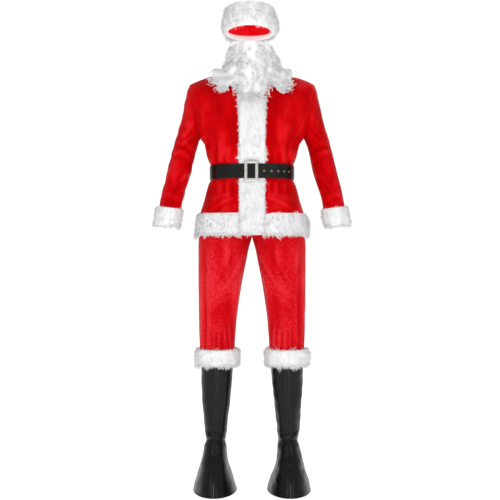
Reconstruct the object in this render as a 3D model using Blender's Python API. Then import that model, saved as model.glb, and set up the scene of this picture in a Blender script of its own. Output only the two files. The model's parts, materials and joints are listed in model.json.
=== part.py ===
"""A santa suit standing as if worn, with nobody in it: hat, beard, jacket with belt, trousers, boot covers.

Units are metres. Heights in the tables are above the floor. The front faces -Y, the wearer's left is +X.
Everything is moved down by ORIGIN_HEIGHT at the end, so that the origin is where the shoulders carry it.
"""

import math

import bpy
import numpy as np
from mathutils import Vector
from mathutils.bvhtree import BVHTree

ORIGIN_HEIGHT = 1.57
SEAM = 0.00015  # half of the gap left at a seam
REST = 0.0003  # gap between a piece and what it lies on
CLOTH = 0.0018  # pile cloth of the jacket
LEG_CLOTH = 0.0015
LEATHERETTE = 0.0014
SQUARE = 0.85  # below 1 the body's sections are fuller than an ellipse

# height, half width, front depth, back depth of the jacket's outside, hem to armpit
JACKET = (
    (0.9700, 0.2075, 0.1370, 0.1470),
    (1.0150, 0.2050, 0.1350, 0.1455),
    (1.0600, 0.1985, 0.1310, 0.1420),
    (1.1100, 0.1830, 0.1240, 0.1320),
    (1.1490, 0.1730, 0.1190, 0.1240),
    (1.1740, 0.1645, 0.1160, 0.1180),
    (1.1850, 0.1582, 0.1130, 0.1122),
    (1.2140, 0.1578, 0.1128, 0.1120),
    (1.2430, 0.1582, 0.1132, 0.1122),
    (1.2540, 0.1630, 0.1150, 0.1150),
    (1.2645, 0.1675, 0.1180, 0.1170),
    (1.3030, 0.1770, 0.1245, 0.1210),
    (1.3260, 0.1840, 0.1260, 0.1215),
    (1.3450, 0.1985, 0.1270, 0.1220),
)
ARMPIT_HEIGHT = 1.3450
ARMPIT_X = 0.1985
SHOULDER_X = 0.2385
SHOULDER_HEIGHT = 1.5530
ARMHOLE_FRONT = 0.070
ARMHOLE_BACK = 0.072
NECK_X = 0.078
NECK_HEIGHT = 1.597
NECK_ACROSS = 1 / 3  # how far across the back its neckline ends
# share of the way up, height, depth of the centre front above the armpit, then the neckline starts
CENTRE_FRONT = (
    (0.00, 1.3450, 0.1270),
    (0.20, 1.4000, 0.1275),
    (0.40, 1.4550, 0.1210),
    (0.58, 1.5000, 0.1080),
)
# the same up the middle of the back, which ends at the neckline
CENTRE_BACK = (
    (0.00, 1.3450, 0.1220),
    (0.35, 1.4250, 0.1250),
    (0.65, 1.4980, 0.1140),
    (1.00, 1.5720, 0.0620),
)
COLUMNS = tuple(k / 9 for k in range(10))  # shares across half a front or back

# outer and inner point (x, height) of each sleeve ring, depth, how far forward its middle lies
SLEEVE = (
    (0.2385, 1.5530, 0.1985, 1.3450, 0.0700, 0.000),
    (0.2500, 1.5260, 0.2000, 1.3425, 0.0690, 0.000),
    (0.2562, 1.4955, 0.2012, 1.3400, 0.0675, 0.000),
    (0.2635, 1.4570, 0.2024, 1.3372, 0.0655, 0.000),
    (0.2720, 1.4185, 0.2040, 1.3330, 0.0630, 0.001),
    (0.2835, 1.3800, 0.2065, 1.3250, 0.0600, 0.002),
    (0.2948, 1.3460, 0.2112, 1.3140, 0.0575, 0.003),
    (0.3032, 1.3120, 0.2180, 1.2870, 0.0555, 0.005),
    (0.3130, 1.2760, 0.2255, 1.2520, 0.0545, 0.007),
    (0.3215, 1.2390, 0.2335, 1.2160, 0.0530, 0.011),
    (0.3290, 1.2010, 0.2440, 1.1790, 0.0515, 0.017),
    (0.3385, 1.1640, 0.2555, 1.1430, 0.0500, 0.024),
    (0.3475, 1.1260, 0.2645, 1.1100, 0.0485, 0.031),
    (0.3550, 1.0890, 0.2705, 1.0790, 0.0470, 0.037),
    (0.3610, 1.0530, 0.2775, 1.0440, 0.0465, 0.041),
    (0.3660, 1.0180, 0.2835, 1.0110, 0.0465, 0.044),
)
SLEEVE_SIDES = 14
SLEEVE_KEPT = (0, 1, 2, 3, 5, 6, 8, 10, 12, 13, 14, 15)  # rings the solid is made from
SLEEVE_END = 15
SLEEVE_ASIDE = (0.983, 0.0, -0.189)  # away from the body at the armhole
# how far out and how far along the sleeve, round the cuff fur's section
CUFF_SECTION = (
    (0.0003, 13.00),
    (0.0003, 14.00),
    (0.0003, 15.00),
    (0.0050, 15.35),
    (0.0105, 15.15),
    (0.0120, 14.50),
    (0.0118, 13.70),
    (0.0085, 12.95),
    (0.0035, 12.80),
)

CUFF_LUMPS = 0.0012  # how uneven each fur's solid is
STRIP_LUMPS = 0.0008
HEM_LUMPS = 0.0010
LEG_FUR_LUMPS = 0.0018
HAT_LUMPS = 0.0018

STRIP_HALF = 0.0525
# height, half width, thickness of the front fur strip
STRIP = (
    (0.9640, 0.0525, 0.0105),
    (0.9900, 0.0520, 0.0120),
    (1.0600, 0.0525, 0.0115),
    (1.1200, 0.0522, 0.0110),
    (1.1600, 0.0530, 0.0090),
    (1.1720, 0.0535, 0.0060),
    (1.1790, 0.0530, 0.0032),
    (1.1855, 0.0530, 0.0032),
    (1.2425, 0.0530, 0.0032),
    (1.2485, 0.0535, 0.0032),
    (1.2545, 0.0550, 0.0055),
    (1.2640, 0.0580, 0.0095),
    (1.2800, 0.0560, 0.0120),
    (1.3200, 0.0525, 0.0115),
    (1.3800, 0.0530, 0.0110),
    (1.4400, 0.0560, 0.0110),
    (1.4960, 0.0600, 0.0100),
)
# across the strip's outside, as shares of its half width
STRIP_ACROSS = (1.0, 0.92, 0.6, 0.2, -0.2, -0.6, -0.92, -1.0)
HEM_BESIDE_STRIP = 0.0040
STRIP_APART = 0.004  # heights nearer than this to one of the jacket's rows are left out
# how far out and how high above the hem edge, round the hem fur's section
HEM_SECTION = (
    (0.0003, 0.0900),
    (0.0003, 0.0450),
    (0.0003, -0.0030),
    (0.0050, -0.0080),
    (0.0098, 0.0020),
    (0.0118, 0.0250),
    (0.0115, 0.0560),
    (0.0095, 0.0820),
    (0.0045, 0.0930),
)

BELT_HEIGHT = 1.2140
BELT_HALF = 0.0273
BELT_THICK = 0.0030
BELT_A = 0.1592
BELT_FRONT = 0.1175
BELT_BACK = 0.1134
BUCKLE_X = -0.0030
BUCKLE_HALF = (0.0257, 0.0395)
WINDOW_HALF = (0.0150, 0.0281)
EYELETS_X = (0.0450, 0.0720, 0.0970, 0.1190, 0.1370)
EYELET_HOLE = 0.0029
# radius and height above the strap's inner surface, round an eyelet's section
EYELET_SECTION = (
    (0.0017, 0.0004),
    (0.0025, 0.0004),
    (0.0025, 0.0034),
    (0.0040, 0.0034),
    (0.0038, 0.0041),
    (0.0022, 0.0043),
)
STRAP_START = 0.0032  # left of the buckle's middle, where the strap is sewn round the bar
STRAP_FREE = 0.0470  # where the overlapping end leaves the belt's own line
# from the buckle's middle, how far the overlapping end stands off
STRAP_LIFT = (
    (0.0380, 0.0008),
    (0.0310, 0.0022),
    (0.0240, 0.0034),
    (0.0120, 0.0040),
    (0.0060, 0.0058),
    (0.0000, 0.0064),
    (-0.0060, 0.0058),
    (-0.0120, 0.0042),
    (-0.0200, 0.0034),
    (-0.0345, 0.0034),
)
# how much narrower and lower than the frame's outside or more than its window, distance in front
BUCKLE_INNER = ((0.0, 0.0, 0.0070), (0.0026, 0.0030, 0.0112), (0.0, 0.0, 0.0092))
BUCKLE_OUTER = ((0.0, 0.0, 0.0070), (0.0, 0.0, 0.0088), (-0.0028, -0.0032, 0.0112))
BAR_HALF = 0.0020
BAR_FRONT = 0.0050
BAR_BACK = 0.0014
POST_FRONT = 0.0080
PRONG_HOLE_X = -0.0115
PRONG_HOLE_HALF = 0.0030
# from the buckle's middle, distance in front of the strap's inner surface, half thickness of the prong
PRONG = (
    (-0.0105, 0.0070, 0.0016),
    (-0.0125, 0.0094, 0.0016),
    (-0.0145, 0.0122, 0.0017),
    (-0.0200, 0.0134, 0.0016),
    (-0.0245, 0.0134, 0.0012),
)

# height, outer x, inner x, front depth, back depth of a trouser leg's outside, below the crotch
LEG = (
    (0.4760, 0.2000, 0.0680, 0.0690, 0.0700),
    (0.5150, 0.2000, 0.0680, 0.0700, 0.0710),
    (0.5400, 0.2005, 0.0665, 0.0740, 0.0750),
    (0.5715, 0.2020, 0.0650, 0.0810, 0.0830),
    (0.6100, 0.2035, 0.0620, 0.0860, 0.0880),
    (0.6485, 0.2040, 0.0590, 0.0890, 0.0910),
    (0.7255, 0.2050, 0.0490, 0.0960, 0.0980),
    (0.8025, 0.2060, 0.0366, 0.1030, 0.1080),
    (0.8795, 0.2060, 0.0215, 0.1110, 0.1170),
    (0.9300, 0.2062, 0.0110, 0.1150, 0.1200),
    (0.9560, 0.2050, 0.0032, 0.1160, 0.1210),
)
# height, outer x, middle of the section, front depth, back depth above the crotch
SEAT = (
    (0.9560, 0.2050, 0.1041, 0.1160, 0.1210),
    (0.9700, 0.2043, 0.0984, 0.1155, 0.1210),
    (0.9900, 0.2000, 0.0840, 0.1150, 0.1210),
    (1.0200, 0.1860, 0.0580, 0.1150, 0.1210),
    (1.0500, 0.1770, 0.0270, 0.1140, 0.1190),
    (1.0800, 0.1700, 0.0040, 0.1130, 0.1200),
    (1.1200, 0.1560, 0.0000, 0.1060, 0.1080),
)
# how far out and the height, round the waistband's section
WAISTBAND_SECTION = (
    (0.0000, 1.1203),
    (0.0016, 1.1300),
    (0.0016, 1.1480),
    (0.0000, 1.1560),
    (-0.0025, 1.1560),
    (-0.0025, 1.1203),
)
LEG_SIDES = 8  # round half a leg
LEG_ROUND = 0.92  # below 1 the legs' sections are fuller than an ellipse
LEG_LEVELS = (0.476, 0.515, 0.540, 0.5715, 0.6485, 0.7255, 0.8200, 0.930, 0.956)
SEAT_LEVELS = (0.970, 0.990, 1.020, 1.050, 1.080, 1.120)
# out and height round the leg cuff fur's section
LEG_FUR_SECTION = (
    (0.0003, 0.5400),
    (0.0003, 0.5150),
    (0.0003, 0.4700),
    (0.0120, 0.4630),
    (0.0235, 0.4720),
    (0.0262, 0.4960),
    (0.0255, 0.5200),
    (0.0190, 0.5400),
    (0.0080, 0.5470),
)

# height, middle x, half width, front depth, back depth of a boot cover
BOOT = (
    (0.0000, 0.1420, 0.0840, 0.1700, 0.0850),
    (0.0350, 0.1430, 0.0750, 0.1560, 0.0820),
    (0.0710, 0.1440, 0.0630, 0.1340, 0.0790),
    (0.1095, 0.1440, 0.0520, 0.1080, 0.0740),
    (0.1400, 0.1425, 0.0460, 0.0840, 0.0690),
    (0.1580, 0.1412, 0.0425, 0.0740, 0.0640),
    (0.1720, 0.1400, 0.0398, 0.0650, 0.0600),
    (0.1865, 0.1386, 0.0385, 0.0590, 0.0570),
    (0.2040, 0.1386, 0.0400, 0.0550, 0.0560),
    (0.2700, 0.1386, 0.0466, 0.0540, 0.0590),
    (0.3405, 0.1376, 0.0535, 0.0580, 0.0640),
    (0.4000, 0.1367, 0.0580, 0.0610, 0.0660),
    (0.4560, 0.1350, 0.0618, 0.0645, 0.0670),
    (0.5040, 0.1340, 0.0640, 0.0678, 0.0686),
)

BOOT_SIDES = 8  # round half a boot cover

HAT_X = -0.0090
HAT_RIM = 1.7540
HAT_TILT = 0.0090
HAT_HALF = (0.0890, 0.1040)
HAT_SIDES = 20
HAT_SECTION = (
    (0.0003, 0.0800),
    (0.0003, 0.0400),
    (0.0003, 0.0040),
    (0.0090, -0.0010),
    (0.0190, 0.0090),
    (0.0236, 0.0290),
    (0.0236, 0.0560),
    (0.0195, 0.0780),
    (0.0090, 0.0900),
)
# front or upper point (y, height), back or under point, half width of each ring of the hat's crown
CROWN = (
    (-0.1035, 1.7650, 0.1035, 1.7480, 0.0886),
    (-0.1030, 1.8000, 0.1030, 1.7950, 0.0880),
    (-0.0980, 1.8300, 0.1025, 1.8330, 0.0850),
    (-0.0600, 1.8510, 0.1080, 1.8470, 0.0750),
    (0.0250, 1.8680, 0.1170, 1.8510, 0.0590),
    (0.1300, 1.8700, 0.1290, 1.8470, 0.0460),
    (0.1650, 1.8480, 0.1350, 1.8400, 0.0430),
    (0.1780, 1.8050, 0.1420, 1.8080, 0.0380),
    (0.1800, 1.7550, 0.1460, 1.7560, 0.0310),
    (0.1780, 1.7050, 0.1500, 1.7060, 0.0230),
    (0.1730, 1.6700, 0.1550, 1.6700, 0.0130),
)
# middle (x from the hat's, y, height) and radius
POMPOM = (0.0, 0.1640, 1.6369, 0.0350)
POMPOM_ROWS = 8
POMPOM_SIDES = 12

# height, half width, front depth, thickness of the beard
BEARD = (
    (1.4900, 0.0560, 0.1500, 0.0300),
    (1.5080, 0.1060, 0.1500, 0.0330),
    (1.5300, 0.1460, 0.1500, 0.0350),
    (1.5550, 0.1620, 0.1490, 0.0360),
    (1.5800, 0.1620, 0.1480, 0.0370),
    (1.6030, 0.1400, 0.1460, 0.0370),
    (1.6250, 0.1130, 0.1430, 0.0360),
    (1.6550, 0.0980, 0.1390, 0.0330),
    (1.6850, 0.0900, 0.1330, 0.0280),
    (1.7050, 0.0860, 0.1250, 0.0200),
)
BEARD_COLUMNS = 16
BEARD_WING = 0.0600  # beyond this from the middle it hangs over the shoulder
BEARD_SIDE_EDGE = 0.0200  # depth of its side edges in front of the body's axis
# out, down, aside and size of each ring of a lock, the last two as shares of its sway and root width
LOCK_RINGS = (
    (0.0060, 0.0010, 0.0, 0.36),
    (0.0135, 0.0090, 0.2, 0.33),
    (0.0150, 0.0240, 1.0, 0.26),
    (0.0195, 0.0325, 0.9, 0.10),
)

COLOURS = {
    "red_pile": ((0.62, 0.004, 0.010), 0.85, 0.0),
    "red_crushed": ((0.70, 0.008, 0.015), 0.60, 0.0),
    "white_fur": ((0.90, 0.89, 0.87), 0.95, 0.0),
    "black_leatherette": ((0.012, 0.012, 0.013), 0.42, 0.0),
    "silver": ((0.72, 0.72, 0.70), 0.28, 1.0),
    "brass": ((0.62, 0.47, 0.22), 0.35, 1.0),
}


def smooth(table, where):
    """The table's other columns at a value of its first one, along a smooth curve through its rows."""
    rows = np.array(table)
    keys = rows[:, 0]
    where = min(max(where, keys[0]), keys[-1])
    slopes = np.gradient(rows[:, 1:], keys, axis=0)
    i = int(np.clip(np.searchsorted(keys, where) - 1, 0, len(keys) - 2))
    span = keys[i + 1] - keys[i]
    s = (where - keys[i]) / span
    return (
        (2 * s**3 - 3 * s**2 + 1) * rows[i, 1:]
        + (s**3 - 2 * s**2 + s) * span * slopes[i]
        + (3 * s**2 - 2 * s**3) * rows[i + 1, 1:]
        + (s**3 - s**2) * span * slopes[i + 1]
    )


def linear(table, where):
    rows = np.array(table)
    return np.array([np.interp(where, rows[:, 0], rows[:, k]) for k in range(1, rows.shape[1])])


def numbered(table):
    return tuple((float(i), *row) for i, row in enumerate(table))


def material(name):
    found = bpy.data.materials.get(name)
    if found:
        return found
    colour, roughness, metallic = COLOURS[name]
    made = bpy.data.materials.new(name)
    made.use_nodes = True
    shader = made.node_tree.nodes["Principled BSDF"]
    shader.inputs["Base Color"].default_value = (*colour, 1.0)
    shader.inputs["Roughness"].default_value = roughness
    shader.inputs["Metallic"].default_value = metallic
    return made


def volume_of(points, faces):
    total = 0.0
    for face in faces:
        a = points[face[0]]
        for j in range(1, len(face) - 1):
            total += float(np.dot(a, np.cross(points[face[j]], points[face[j + 1]])))
    return total / 6.0


def add_solid(name, points, faces, look):
    """One closed body, facing outwards whichever way its faces were listed."""
    points = np.asarray(points, float)
    if volume_of(points, faces) < 0:
        faces = [tuple(reversed(face)) for face in faces]
    mesh = bpy.data.meshes.new(name)
    mesh.from_pydata([tuple(p) for p in points - (0.0, 0.0, ORIGIN_HEIGHT)], [], [tuple(f) for f in faces])
    mesh.materials.append(material(look))
    mesh.update()
    made = bpy.data.objects.new(name, mesh)
    bpy.context.scene.collection.objects.link(made)
    return made


def quads(rows, columns, around, start=0, flip=False):
    faces = []
    for i in range(rows - 1):
        for j in range(columns if around else columns - 1):
            k = (j + 1) % columns
            face = (
                start + i * columns + j,
                start + i * columns + k,
                start + (i + 1) * columns + k,
                start + (i + 1) * columns + j,
            )
            faces.append(tuple(reversed(face)) if flip else face)
    return faces


def rim(loop, other, closed):
    """Quads between two matching lines of point numbers."""
    count = len(loop)
    faces = []
    for j in range(count if closed else count - 1):
        k = (j + 1) % count
        faces.append((loop[k], loop[j], other[j], other[k]))
    return faces


def panel_wall(outside, inside):
    """The body between two grids of the same size: a panel of cloth with its four edges."""
    rows, columns, _ = outside.shape
    count = rows * columns
    points = np.concatenate([outside.reshape(-1, 3), inside.reshape(-1, 3)])
    faces = quads(rows, columns, False) + quads(rows, columns, False, count, True)
    number = np.arange(count).reshape(rows, columns)
    edge = list(number[0]) + list(number[1:, -1]) + list(number[-1, -2::-1]) + list(number[-2:0:-1, 0])
    edge = [int(n) for n in edge]
    faces += rim(edge, [n + count for n in edge], True)
    return points, faces


def tube_wall(outside, inside, closed_end=False):
    """The body between two tubes. Each grid row is a ring. A closed end caps the last rings."""
    rows, columns, _ = outside.shape
    inner_rows = inside.shape[0]
    count = rows * columns
    points = np.concatenate([outside.reshape(-1, 3), inside.reshape(-1, 3)])
    faces = quads(rows, columns, True) + quads(inner_rows, columns, True, count, True)
    first = list(range(columns))
    faces += rim(first, [n + count for n in first], True)
    last = [(rows - 1) * columns + j for j in range(columns)]
    inner_last = [count + (inner_rows - 1) * columns + j for j in range(columns)]
    if closed_end:
        faces.append(tuple(last))
        faces.append(tuple(reversed(inner_last)))
    else:
        faces += [tuple(reversed(face)) for face in rim(last, inner_last, True)]
    return points, faces


def ring_body(grid):
    """A closed ring: rows go round the ring, columns round its section."""
    rows, columns, _ = grid.shape
    points = grid.reshape(-1, 3)
    faces = quads(rows, columns, True)
    last = [(rows - 1) * columns + j for j in range(columns)]
    faces += [tuple(reversed(face)) for face in rim(last, list(range(columns)), True)]
    return points, faces


def bar_body(grid):
    """An open bar with both ends capped: rows go along it, columns round its section."""
    rows, columns, _ = grid.shape
    faces = quads(rows, columns, True)
    faces.append(tuple(reversed(range(columns))))
    faces.append(tuple((rows - 1) * columns + j for j in range(columns)))
    return grid.reshape(-1, 3), faces


def grid_normals(grid, axis):
    """Unit normals of a grid, pointing away from a vertical axis."""
    down = np.gradient(grid, axis=0)
    across = np.gradient(grid, axis=1)
    normals = np.cross(down, across)
    length = np.linalg.norm(normals, axis=2, keepdims=True)
    normals = normals / np.maximum(length, 1e-12)
    outwards = grid - np.array([axis[0], axis[1], 0.0])
    outwards[:, :, 2] = 0.0
    if float((normals * outwards).sum()) < 0:
        normals = -normals
    return normals


def mirrored(points):
    return np.asarray(points) * np.array([-1.0, 1.0, 1.0])


# the jacket's body


def armhole(share, back):
    """The armhole's edge from the armpit at 0 to the shoulder at 1."""
    turn = math.pi * share
    up = (1 - math.cos(turn)) / 2
    depth = ARMHOLE_BACK if back else -ARMHOLE_FRONT
    x = ARMPIT_X + (SHOULDER_X - ARMPIT_X) * up
    z = ARMPIT_HEIGHT + (SHOULDER_HEIGHT - ARMPIT_HEIGHT) * up
    return np.array([x, depth * math.sin(turn), z])


def neckline(share, back):
    """The neckline from the middle at 0 to the shoulder seam at 1."""
    _, z, depth = (CENTRE_BACK if back else CENTRE_FRONT)[-1]
    turn = math.pi / 2 * share
    return np.array([
        NECK_X * math.sin(turn),
        (1.0 if back else -1.0) * depth * math.cos(turn),
        z + (NECK_HEIGHT - z) * math.sin(turn) ** 1.4,
    ])


def shoulder_seam(share):
    """The shoulder seam from the neck at 0 to the armhole at 1."""
    return np.array([
        NECK_X + (SHOULDER_X - NECK_X) * share,
        0.0,
        NECK_HEIGHT + (SHOULDER_HEIGHT - NECK_HEIGHT) * share**1.8,
    ])


def front_edge(share):
    """The middle of the front above the armpit, then the neckline out to the shoulder."""
    last = CENTRE_FRONT[-1][0]
    if share > last:
        return neckline((share - last) / (1 - last), False)
    z, depth = smooth(CENTRE_FRONT, share)
    return np.array([0.0, -depth, z])


def back_patch(across, side, middle, share):
    """The back above the armpit: a patch between its four edges, the upper one with the neckline in it."""
    bottom = np.array([ARMPIT_X * side, CENTRE_BACK[0][2] * middle, ARMPIT_HEIGHT])
    if across < NECK_ACROSS:
        top = neckline(across / NECK_ACROSS, True)
    else:
        top = shoulder_seam((across - NECK_ACROSS) / (1 - NECK_ACROSS))
    z, depth = smooth(CENTRE_BACK, share)
    start = np.array([0.0, depth, z])
    corners = (
        (1 - side) * (1 - share) * np.array([0.0, CENTRE_BACK[0][2], ARMPIT_HEIGHT])
        + side * (1 - share) * np.array([ARMPIT_X, 0.0, ARMPIT_HEIGHT])
        + (1 - side) * share * neckline(0.0, True)
        + side * share * shoulder_seam(1.0)
    )
    return (1 - share) * bottom + share * top + (1 - side) * start + side * armhole(share, True) - corners


def jacket_point(across, level, back):
    """A point of the jacket's outside. Across is 0 in the middle and 1 at the side. Level is a height
    below the armpit, and above it ARMPIT_HEIGHT plus the share of the way to the shoulder seam."""
    turn = across * math.pi / 2
    side = math.sin(turn) ** SQUARE
    middle = math.cos(turn) ** SQUARE
    sign = 1.0 if back else -1.0
    if level <= ARMPIT_HEIGHT:
        half, front, rear = smooth(JACKET, level)
        depth = rear if back else front
        return np.array([half * side, sign * (depth * middle + SEAM), level])
    share = level - ARMPIT_HEIGHT
    if back:
        return back_patch(across, side, middle, share) + (0.0, SEAM, 0.0)
    start = front_edge(share)
    end = armhole(share, False)
    bend = 1.0 + 0.8 * share
    return np.array([
        start[0] + (end[0] - start[0]) * side,
        end[1] + (start[1] - end[1]) * middle - SEAM,
        start[2] + (end[2] - start[2]) * side**bend,
    ])


JACKET_LEVELS = tuple(row[0] for row in JACKET) + tuple(
    ARMPIT_HEIGHT + share for share in (0.15, 0.30, 0.45, 0.58, 0.72, 0.86, 1.0)
)


def jacket_panels():
    made = []
    front = np.array([[jacket_point(a, level, False) for a in COLUMNS] for level in JACKET_LEVELS])
    front[:, 0, 0] = np.maximum(front[:, 0, 0], 2 * SEAM)
    inside = front - CLOTH * grid_normals(front, (0.0, 0.0))
    inside[:, 0, 0] = np.maximum(inside[:, 0, 0], 2 * SEAM)
    inside[:, -1, 1] = np.minimum(inside[:, -1, 1], -SEAM)
    inside[-1, :, 1] = np.minimum(inside[-1, :, 1], -SEAM)
    points, faces = panel_wall(front, inside)
    made.append(add_solid("jacket_front_left", points, faces, "red_pile"))
    made.append(add_solid("jacket_front_right", mirrored(points), faces, "red_pile"))

    half = np.array([[jacket_point(a, level, True) for a in COLUMNS] for level in JACKET_LEVELS])
    back = np.concatenate([mirrored(half)[:, :0:-1], half], axis=1)
    inside = back - CLOTH * grid_normals(back, (0.0, 0.0))
    inside[:, [0, -1], 1] = np.maximum(inside[:, [0, -1], 1], SEAM)
    inside[-1, :, 1] = np.maximum(inside[-1, :, 1], SEAM)
    points, faces = panel_wall(back, inside)
    made.append(add_solid("jacket_back", points, faces, "red_pile"))
    return made


# sleeves


def sleeve_point(along, turn, out):
    """A point of the left sleeve: along in rings, turn from the inner side round the front."""
    row = smooth(numbered(SLEEVE), along)
    outer = np.array([row[0], 0.0, row[1]])
    inner = np.array([row[2], 0.0, row[3]])
    reach = (outer - inner) / 2
    size = np.linalg.norm(reach)
    point = (outer + inner) / 2 - reach * (1 + out / size) * math.cos(turn)
    depth = row[4] + (0.002 if math.sin(turn) < 0 and along < 1 else 0.0)
    point[1] = -(depth + out) * math.sin(turn) - row[5]
    return point


def sleeves():
    turns = np.linspace(0, 2 * math.pi, SLEEVE_SIDES, endpoint=False)
    out = np.array([[sleeve_point(a, t, 0.0) for t in turns] for a in SLEEVE_KEPT])
    inside = np.array([[sleeve_point(a, t, -CLOTH) for t in turns] for a in SLEEVE_KEPT])
    aside = np.array(SLEEVE_ASIDE) * 2 * REST
    for grid in (out, inside):
        grid[0] += aside
        grid[1] += aside / 2
    points, faces = tube_wall(out, inside)
    return [
        add_solid("jacket_sleeve_left", points, faces, "red_pile"),
        add_solid("jacket_sleeve_right", mirrored(points), faces, "red_pile"),
    ]


def lump(a, b):
    """A slow unevenness between -1 and 1."""
    slow = 0.5 * math.sin(2.7 * a + 1.3 * b)
    return slow + 0.3 * math.sin(5.9 * a - 2.1 * b + 1.0) + 0.2 * math.sin(9.1 * a + 4.0 * b)


def sleeve_cuffs():
    made = []
    for name, side in (("left", 1), ("right", -1)):
        grid = []
        for turn in np.linspace(0, 2 * math.pi, SLEEVE_SIDES, endpoint=False):
            ring = []
            for out, along in CUFF_SECTION:
                bump = CUFF_LUMPS * lump(3 * turn, along) if out > REST else 0.0
                last = min(along, SLEEVE_END)
                point = sleeve_point(last, turn, out + bump)
                step = sleeve_point(SLEEVE_END, turn, out) - sleeve_point(SLEEVE_END - 1, turn, out)
                ring.append(point + step * (along - last))
            grid.append(ring)
        points, faces = ring_body(np.array(grid) * np.array([side, 1, 1]))
        made.append(add_solid("jacket_cuff_fur_" + name, points, faces, "white_fur"))
    return made


# front strip and hem fur


def tree_of(objects):
    points, faces = [], []
    for item in objects:
        start = len(points)
        points += [v.co + Vector((0, 0, ORIGIN_HEIGHT)) for v in item.data.vertices]
        faces += [tuple(start + n for n in p.vertices) for p in item.data.polygons]
    return BVHTree.FromPolygons(points, faces)


def front_depth(tree, x, z):
    """How far in front of the body's axis the first surface is, seen from the front."""
    x = x if abs(x) > 0.001 else 0.001
    hit = tree.ray_cast(Vector((x, -1.0, z)), Vector((0, 1, 0)))[0]
    return -hit.y if hit else -1.0


def front_strip(fronts):
    """The wide strip of fur down the front, its back made from the jacket's own columns and rows."""
    tree = tree_of(fronts)
    above = [front_edge(level - ARMPIT_HEIGHT)[2] for level in JACKET_LEVELS if level > ARMPIT_HEIGHT]
    kept = [row[0] for row in JACKET[1:]] + [z for z in above if z < STRIP[-1][0] - STRIP_APART]
    heights = sorted(kept + [row[0] for row in STRIP if min(abs(row[0] - z) for z in kept) > STRIP_APART])
    column = math.sin(COLUMNS[1] * math.pi / 2) ** SQUARE
    grid = []
    for z in heights:
        half, thick = linear(STRIP, z)
        level = max(z, JACKET[0][0] + SEAM)
        clear = REST if z <= ARMPIT_HEIGHT else 3 * REST
        inner_x = column * smooth(JACKET, z)[0]
        ring = []
        for x in (-half, -inner_x, 0.0, inner_x, half):
            ring.append((x, -(front_depth(tree, x, level) + clear), z))
        for s in STRIP_ACROSS:
            bump = STRIP_LUMPS * lump(9 * z, 3 * s) if thick > 0.004 else 0.0
            rise = thick * (1 - 0.55 * abs(s) ** 4) + bump
            base = front_depth(tree, s * half, level) + clear
            ring.append((s * half, -(base + rise), z))
        grid.append(ring)
    points, faces = bar_body(np.array(grid))
    return add_solid("jacket_front_fur", points, faces, "white_fur")


def plan_angle(half, x):
    """The share across at which a section of this half width reaches x."""
    return math.asin((x / half) ** (1 / SQUARE)) / (math.pi / 2)


def hem_band():
    """A strip of fur round the hem, from one side of the front strip to the other."""
    first = plan_angle(JACKET[0][1], STRIP_HALF + HEM_BESIDE_STRIP)
    stations = [(first, False)] + [(a, False) for a in COLUMNS if a > first]
    stations += [(a, True) for a in COLUMNS[-2::-1]]
    right = [(a, back, 1) for a, back in stations]
    path = right + [(a, back, -1) for a, back in reversed(stations[:-1])]
    grid = []
    for number, (across, back, side) in enumerate(path):
        ring = []
        for out, up in HEM_SECTION:
            level = JACKET[0][0] + up
            here = jacket_point(across, max(level, JACKET[0][0]), back)
            ahead = jacket_point(min(across + 0.01, 1.0), max(level, JACKET[0][0]), back)
            behind = jacket_point(max(across - 0.01, 0.0), max(level, JACKET[0][0]), back)
            along = ahead - behind
            normal = np.array([along[1], -along[0], 0.0]) * (-1.0 if back else 1.0)
            normal /= np.linalg.norm(normal)
            if across > 0.999:
                normal = np.array([1.0, 0.0, 0.0])
                here[1] = 0.0
            bump = HEM_LUMPS * lump(1.1 * number, 20 * up) if out > 0.001 else 0.0
            point = here + normal * (out + bump)
            point[2] = level + 0.5 * bump
            ring.append(point * np.array([side, 1, 1]))
        grid.append(ring)
    points, faces = bar_body(np.array(grid))
    return add_solid("jacket_hem_fur", points, faces, "white_fur")


# belt


def belt_point(across, back, out):
    turn = across * math.pi / 2
    depth = BELT_BACK if back else BELT_FRONT
    x = (BELT_A + out) * math.sin(turn) ** SQUARE
    y = (depth + out) * math.cos(turn) ** SQUARE
    return x, y if back else -y


def cut(target, cutters, kind="DIFFERENCE"):
    for number, cutter in enumerate(cutters):
        cutter.hide_render = True
        cutter.display_type = "WIRE"
        step = target.modifiers.new(f"{kind.lower()}_{number}", "BOOLEAN")
        step.operation = kind
        step.object = cutter
        step.solver = "EXACT"


def box_points(low, high):
    return [(x, y, z) for x in (low[0], high[0]) for y in (low[1], high[1]) for z in (low[2], high[2])]


BOX_FACES = [(0, 1, 3, 2), (4, 6, 7, 5), (0, 4, 5, 1), (2, 3, 7, 6), (0, 2, 6, 4), (1, 5, 7, 3)]


def front_outline(x):
    """The belt's inner surface at the front: depth and the outward direction in plan."""
    across = plan_angle(BELT_A, abs(x))
    depth = -belt_point(across, False, 0.0)[1]
    near = belt_point(min(across + 0.01, 1.0), False, 0.0)
    far = belt_point(max(across - 0.01, 0.0), False, 0.0)
    normal = np.array([-(near[1] - far[1]) * -1.0, -(near[0] - far[0]), 0.0])
    normal /= np.linalg.norm(normal)
    normal[0] = abs(normal[0]) * (1.0 if x > 0 else -1.0)
    return depth, normal


def eyelet_holes():
    """Middle and outward direction of each eyelet, on the strap's inner surface."""
    found = []
    for x in EYELETS_X:
        depth, normal = front_outline(x)
        found.append((np.array([x, -depth, BELT_HEIGHT]), normal))
    return found


def turned(profile, middle, normal, sides):
    """A ring turned from a profile of radius and height about a direction."""
    across = np.array([0.0, 0.0, 1.0])
    other = np.cross(normal, across)
    grid = []
    for turn in np.linspace(0, 2 * math.pi, sides, endpoint=False):
        spoke = across * math.cos(turn) + other * math.sin(turn)
        grid.append([middle + spoke * r + normal * h for r, h in profile])
    return np.array(grid)


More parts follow.
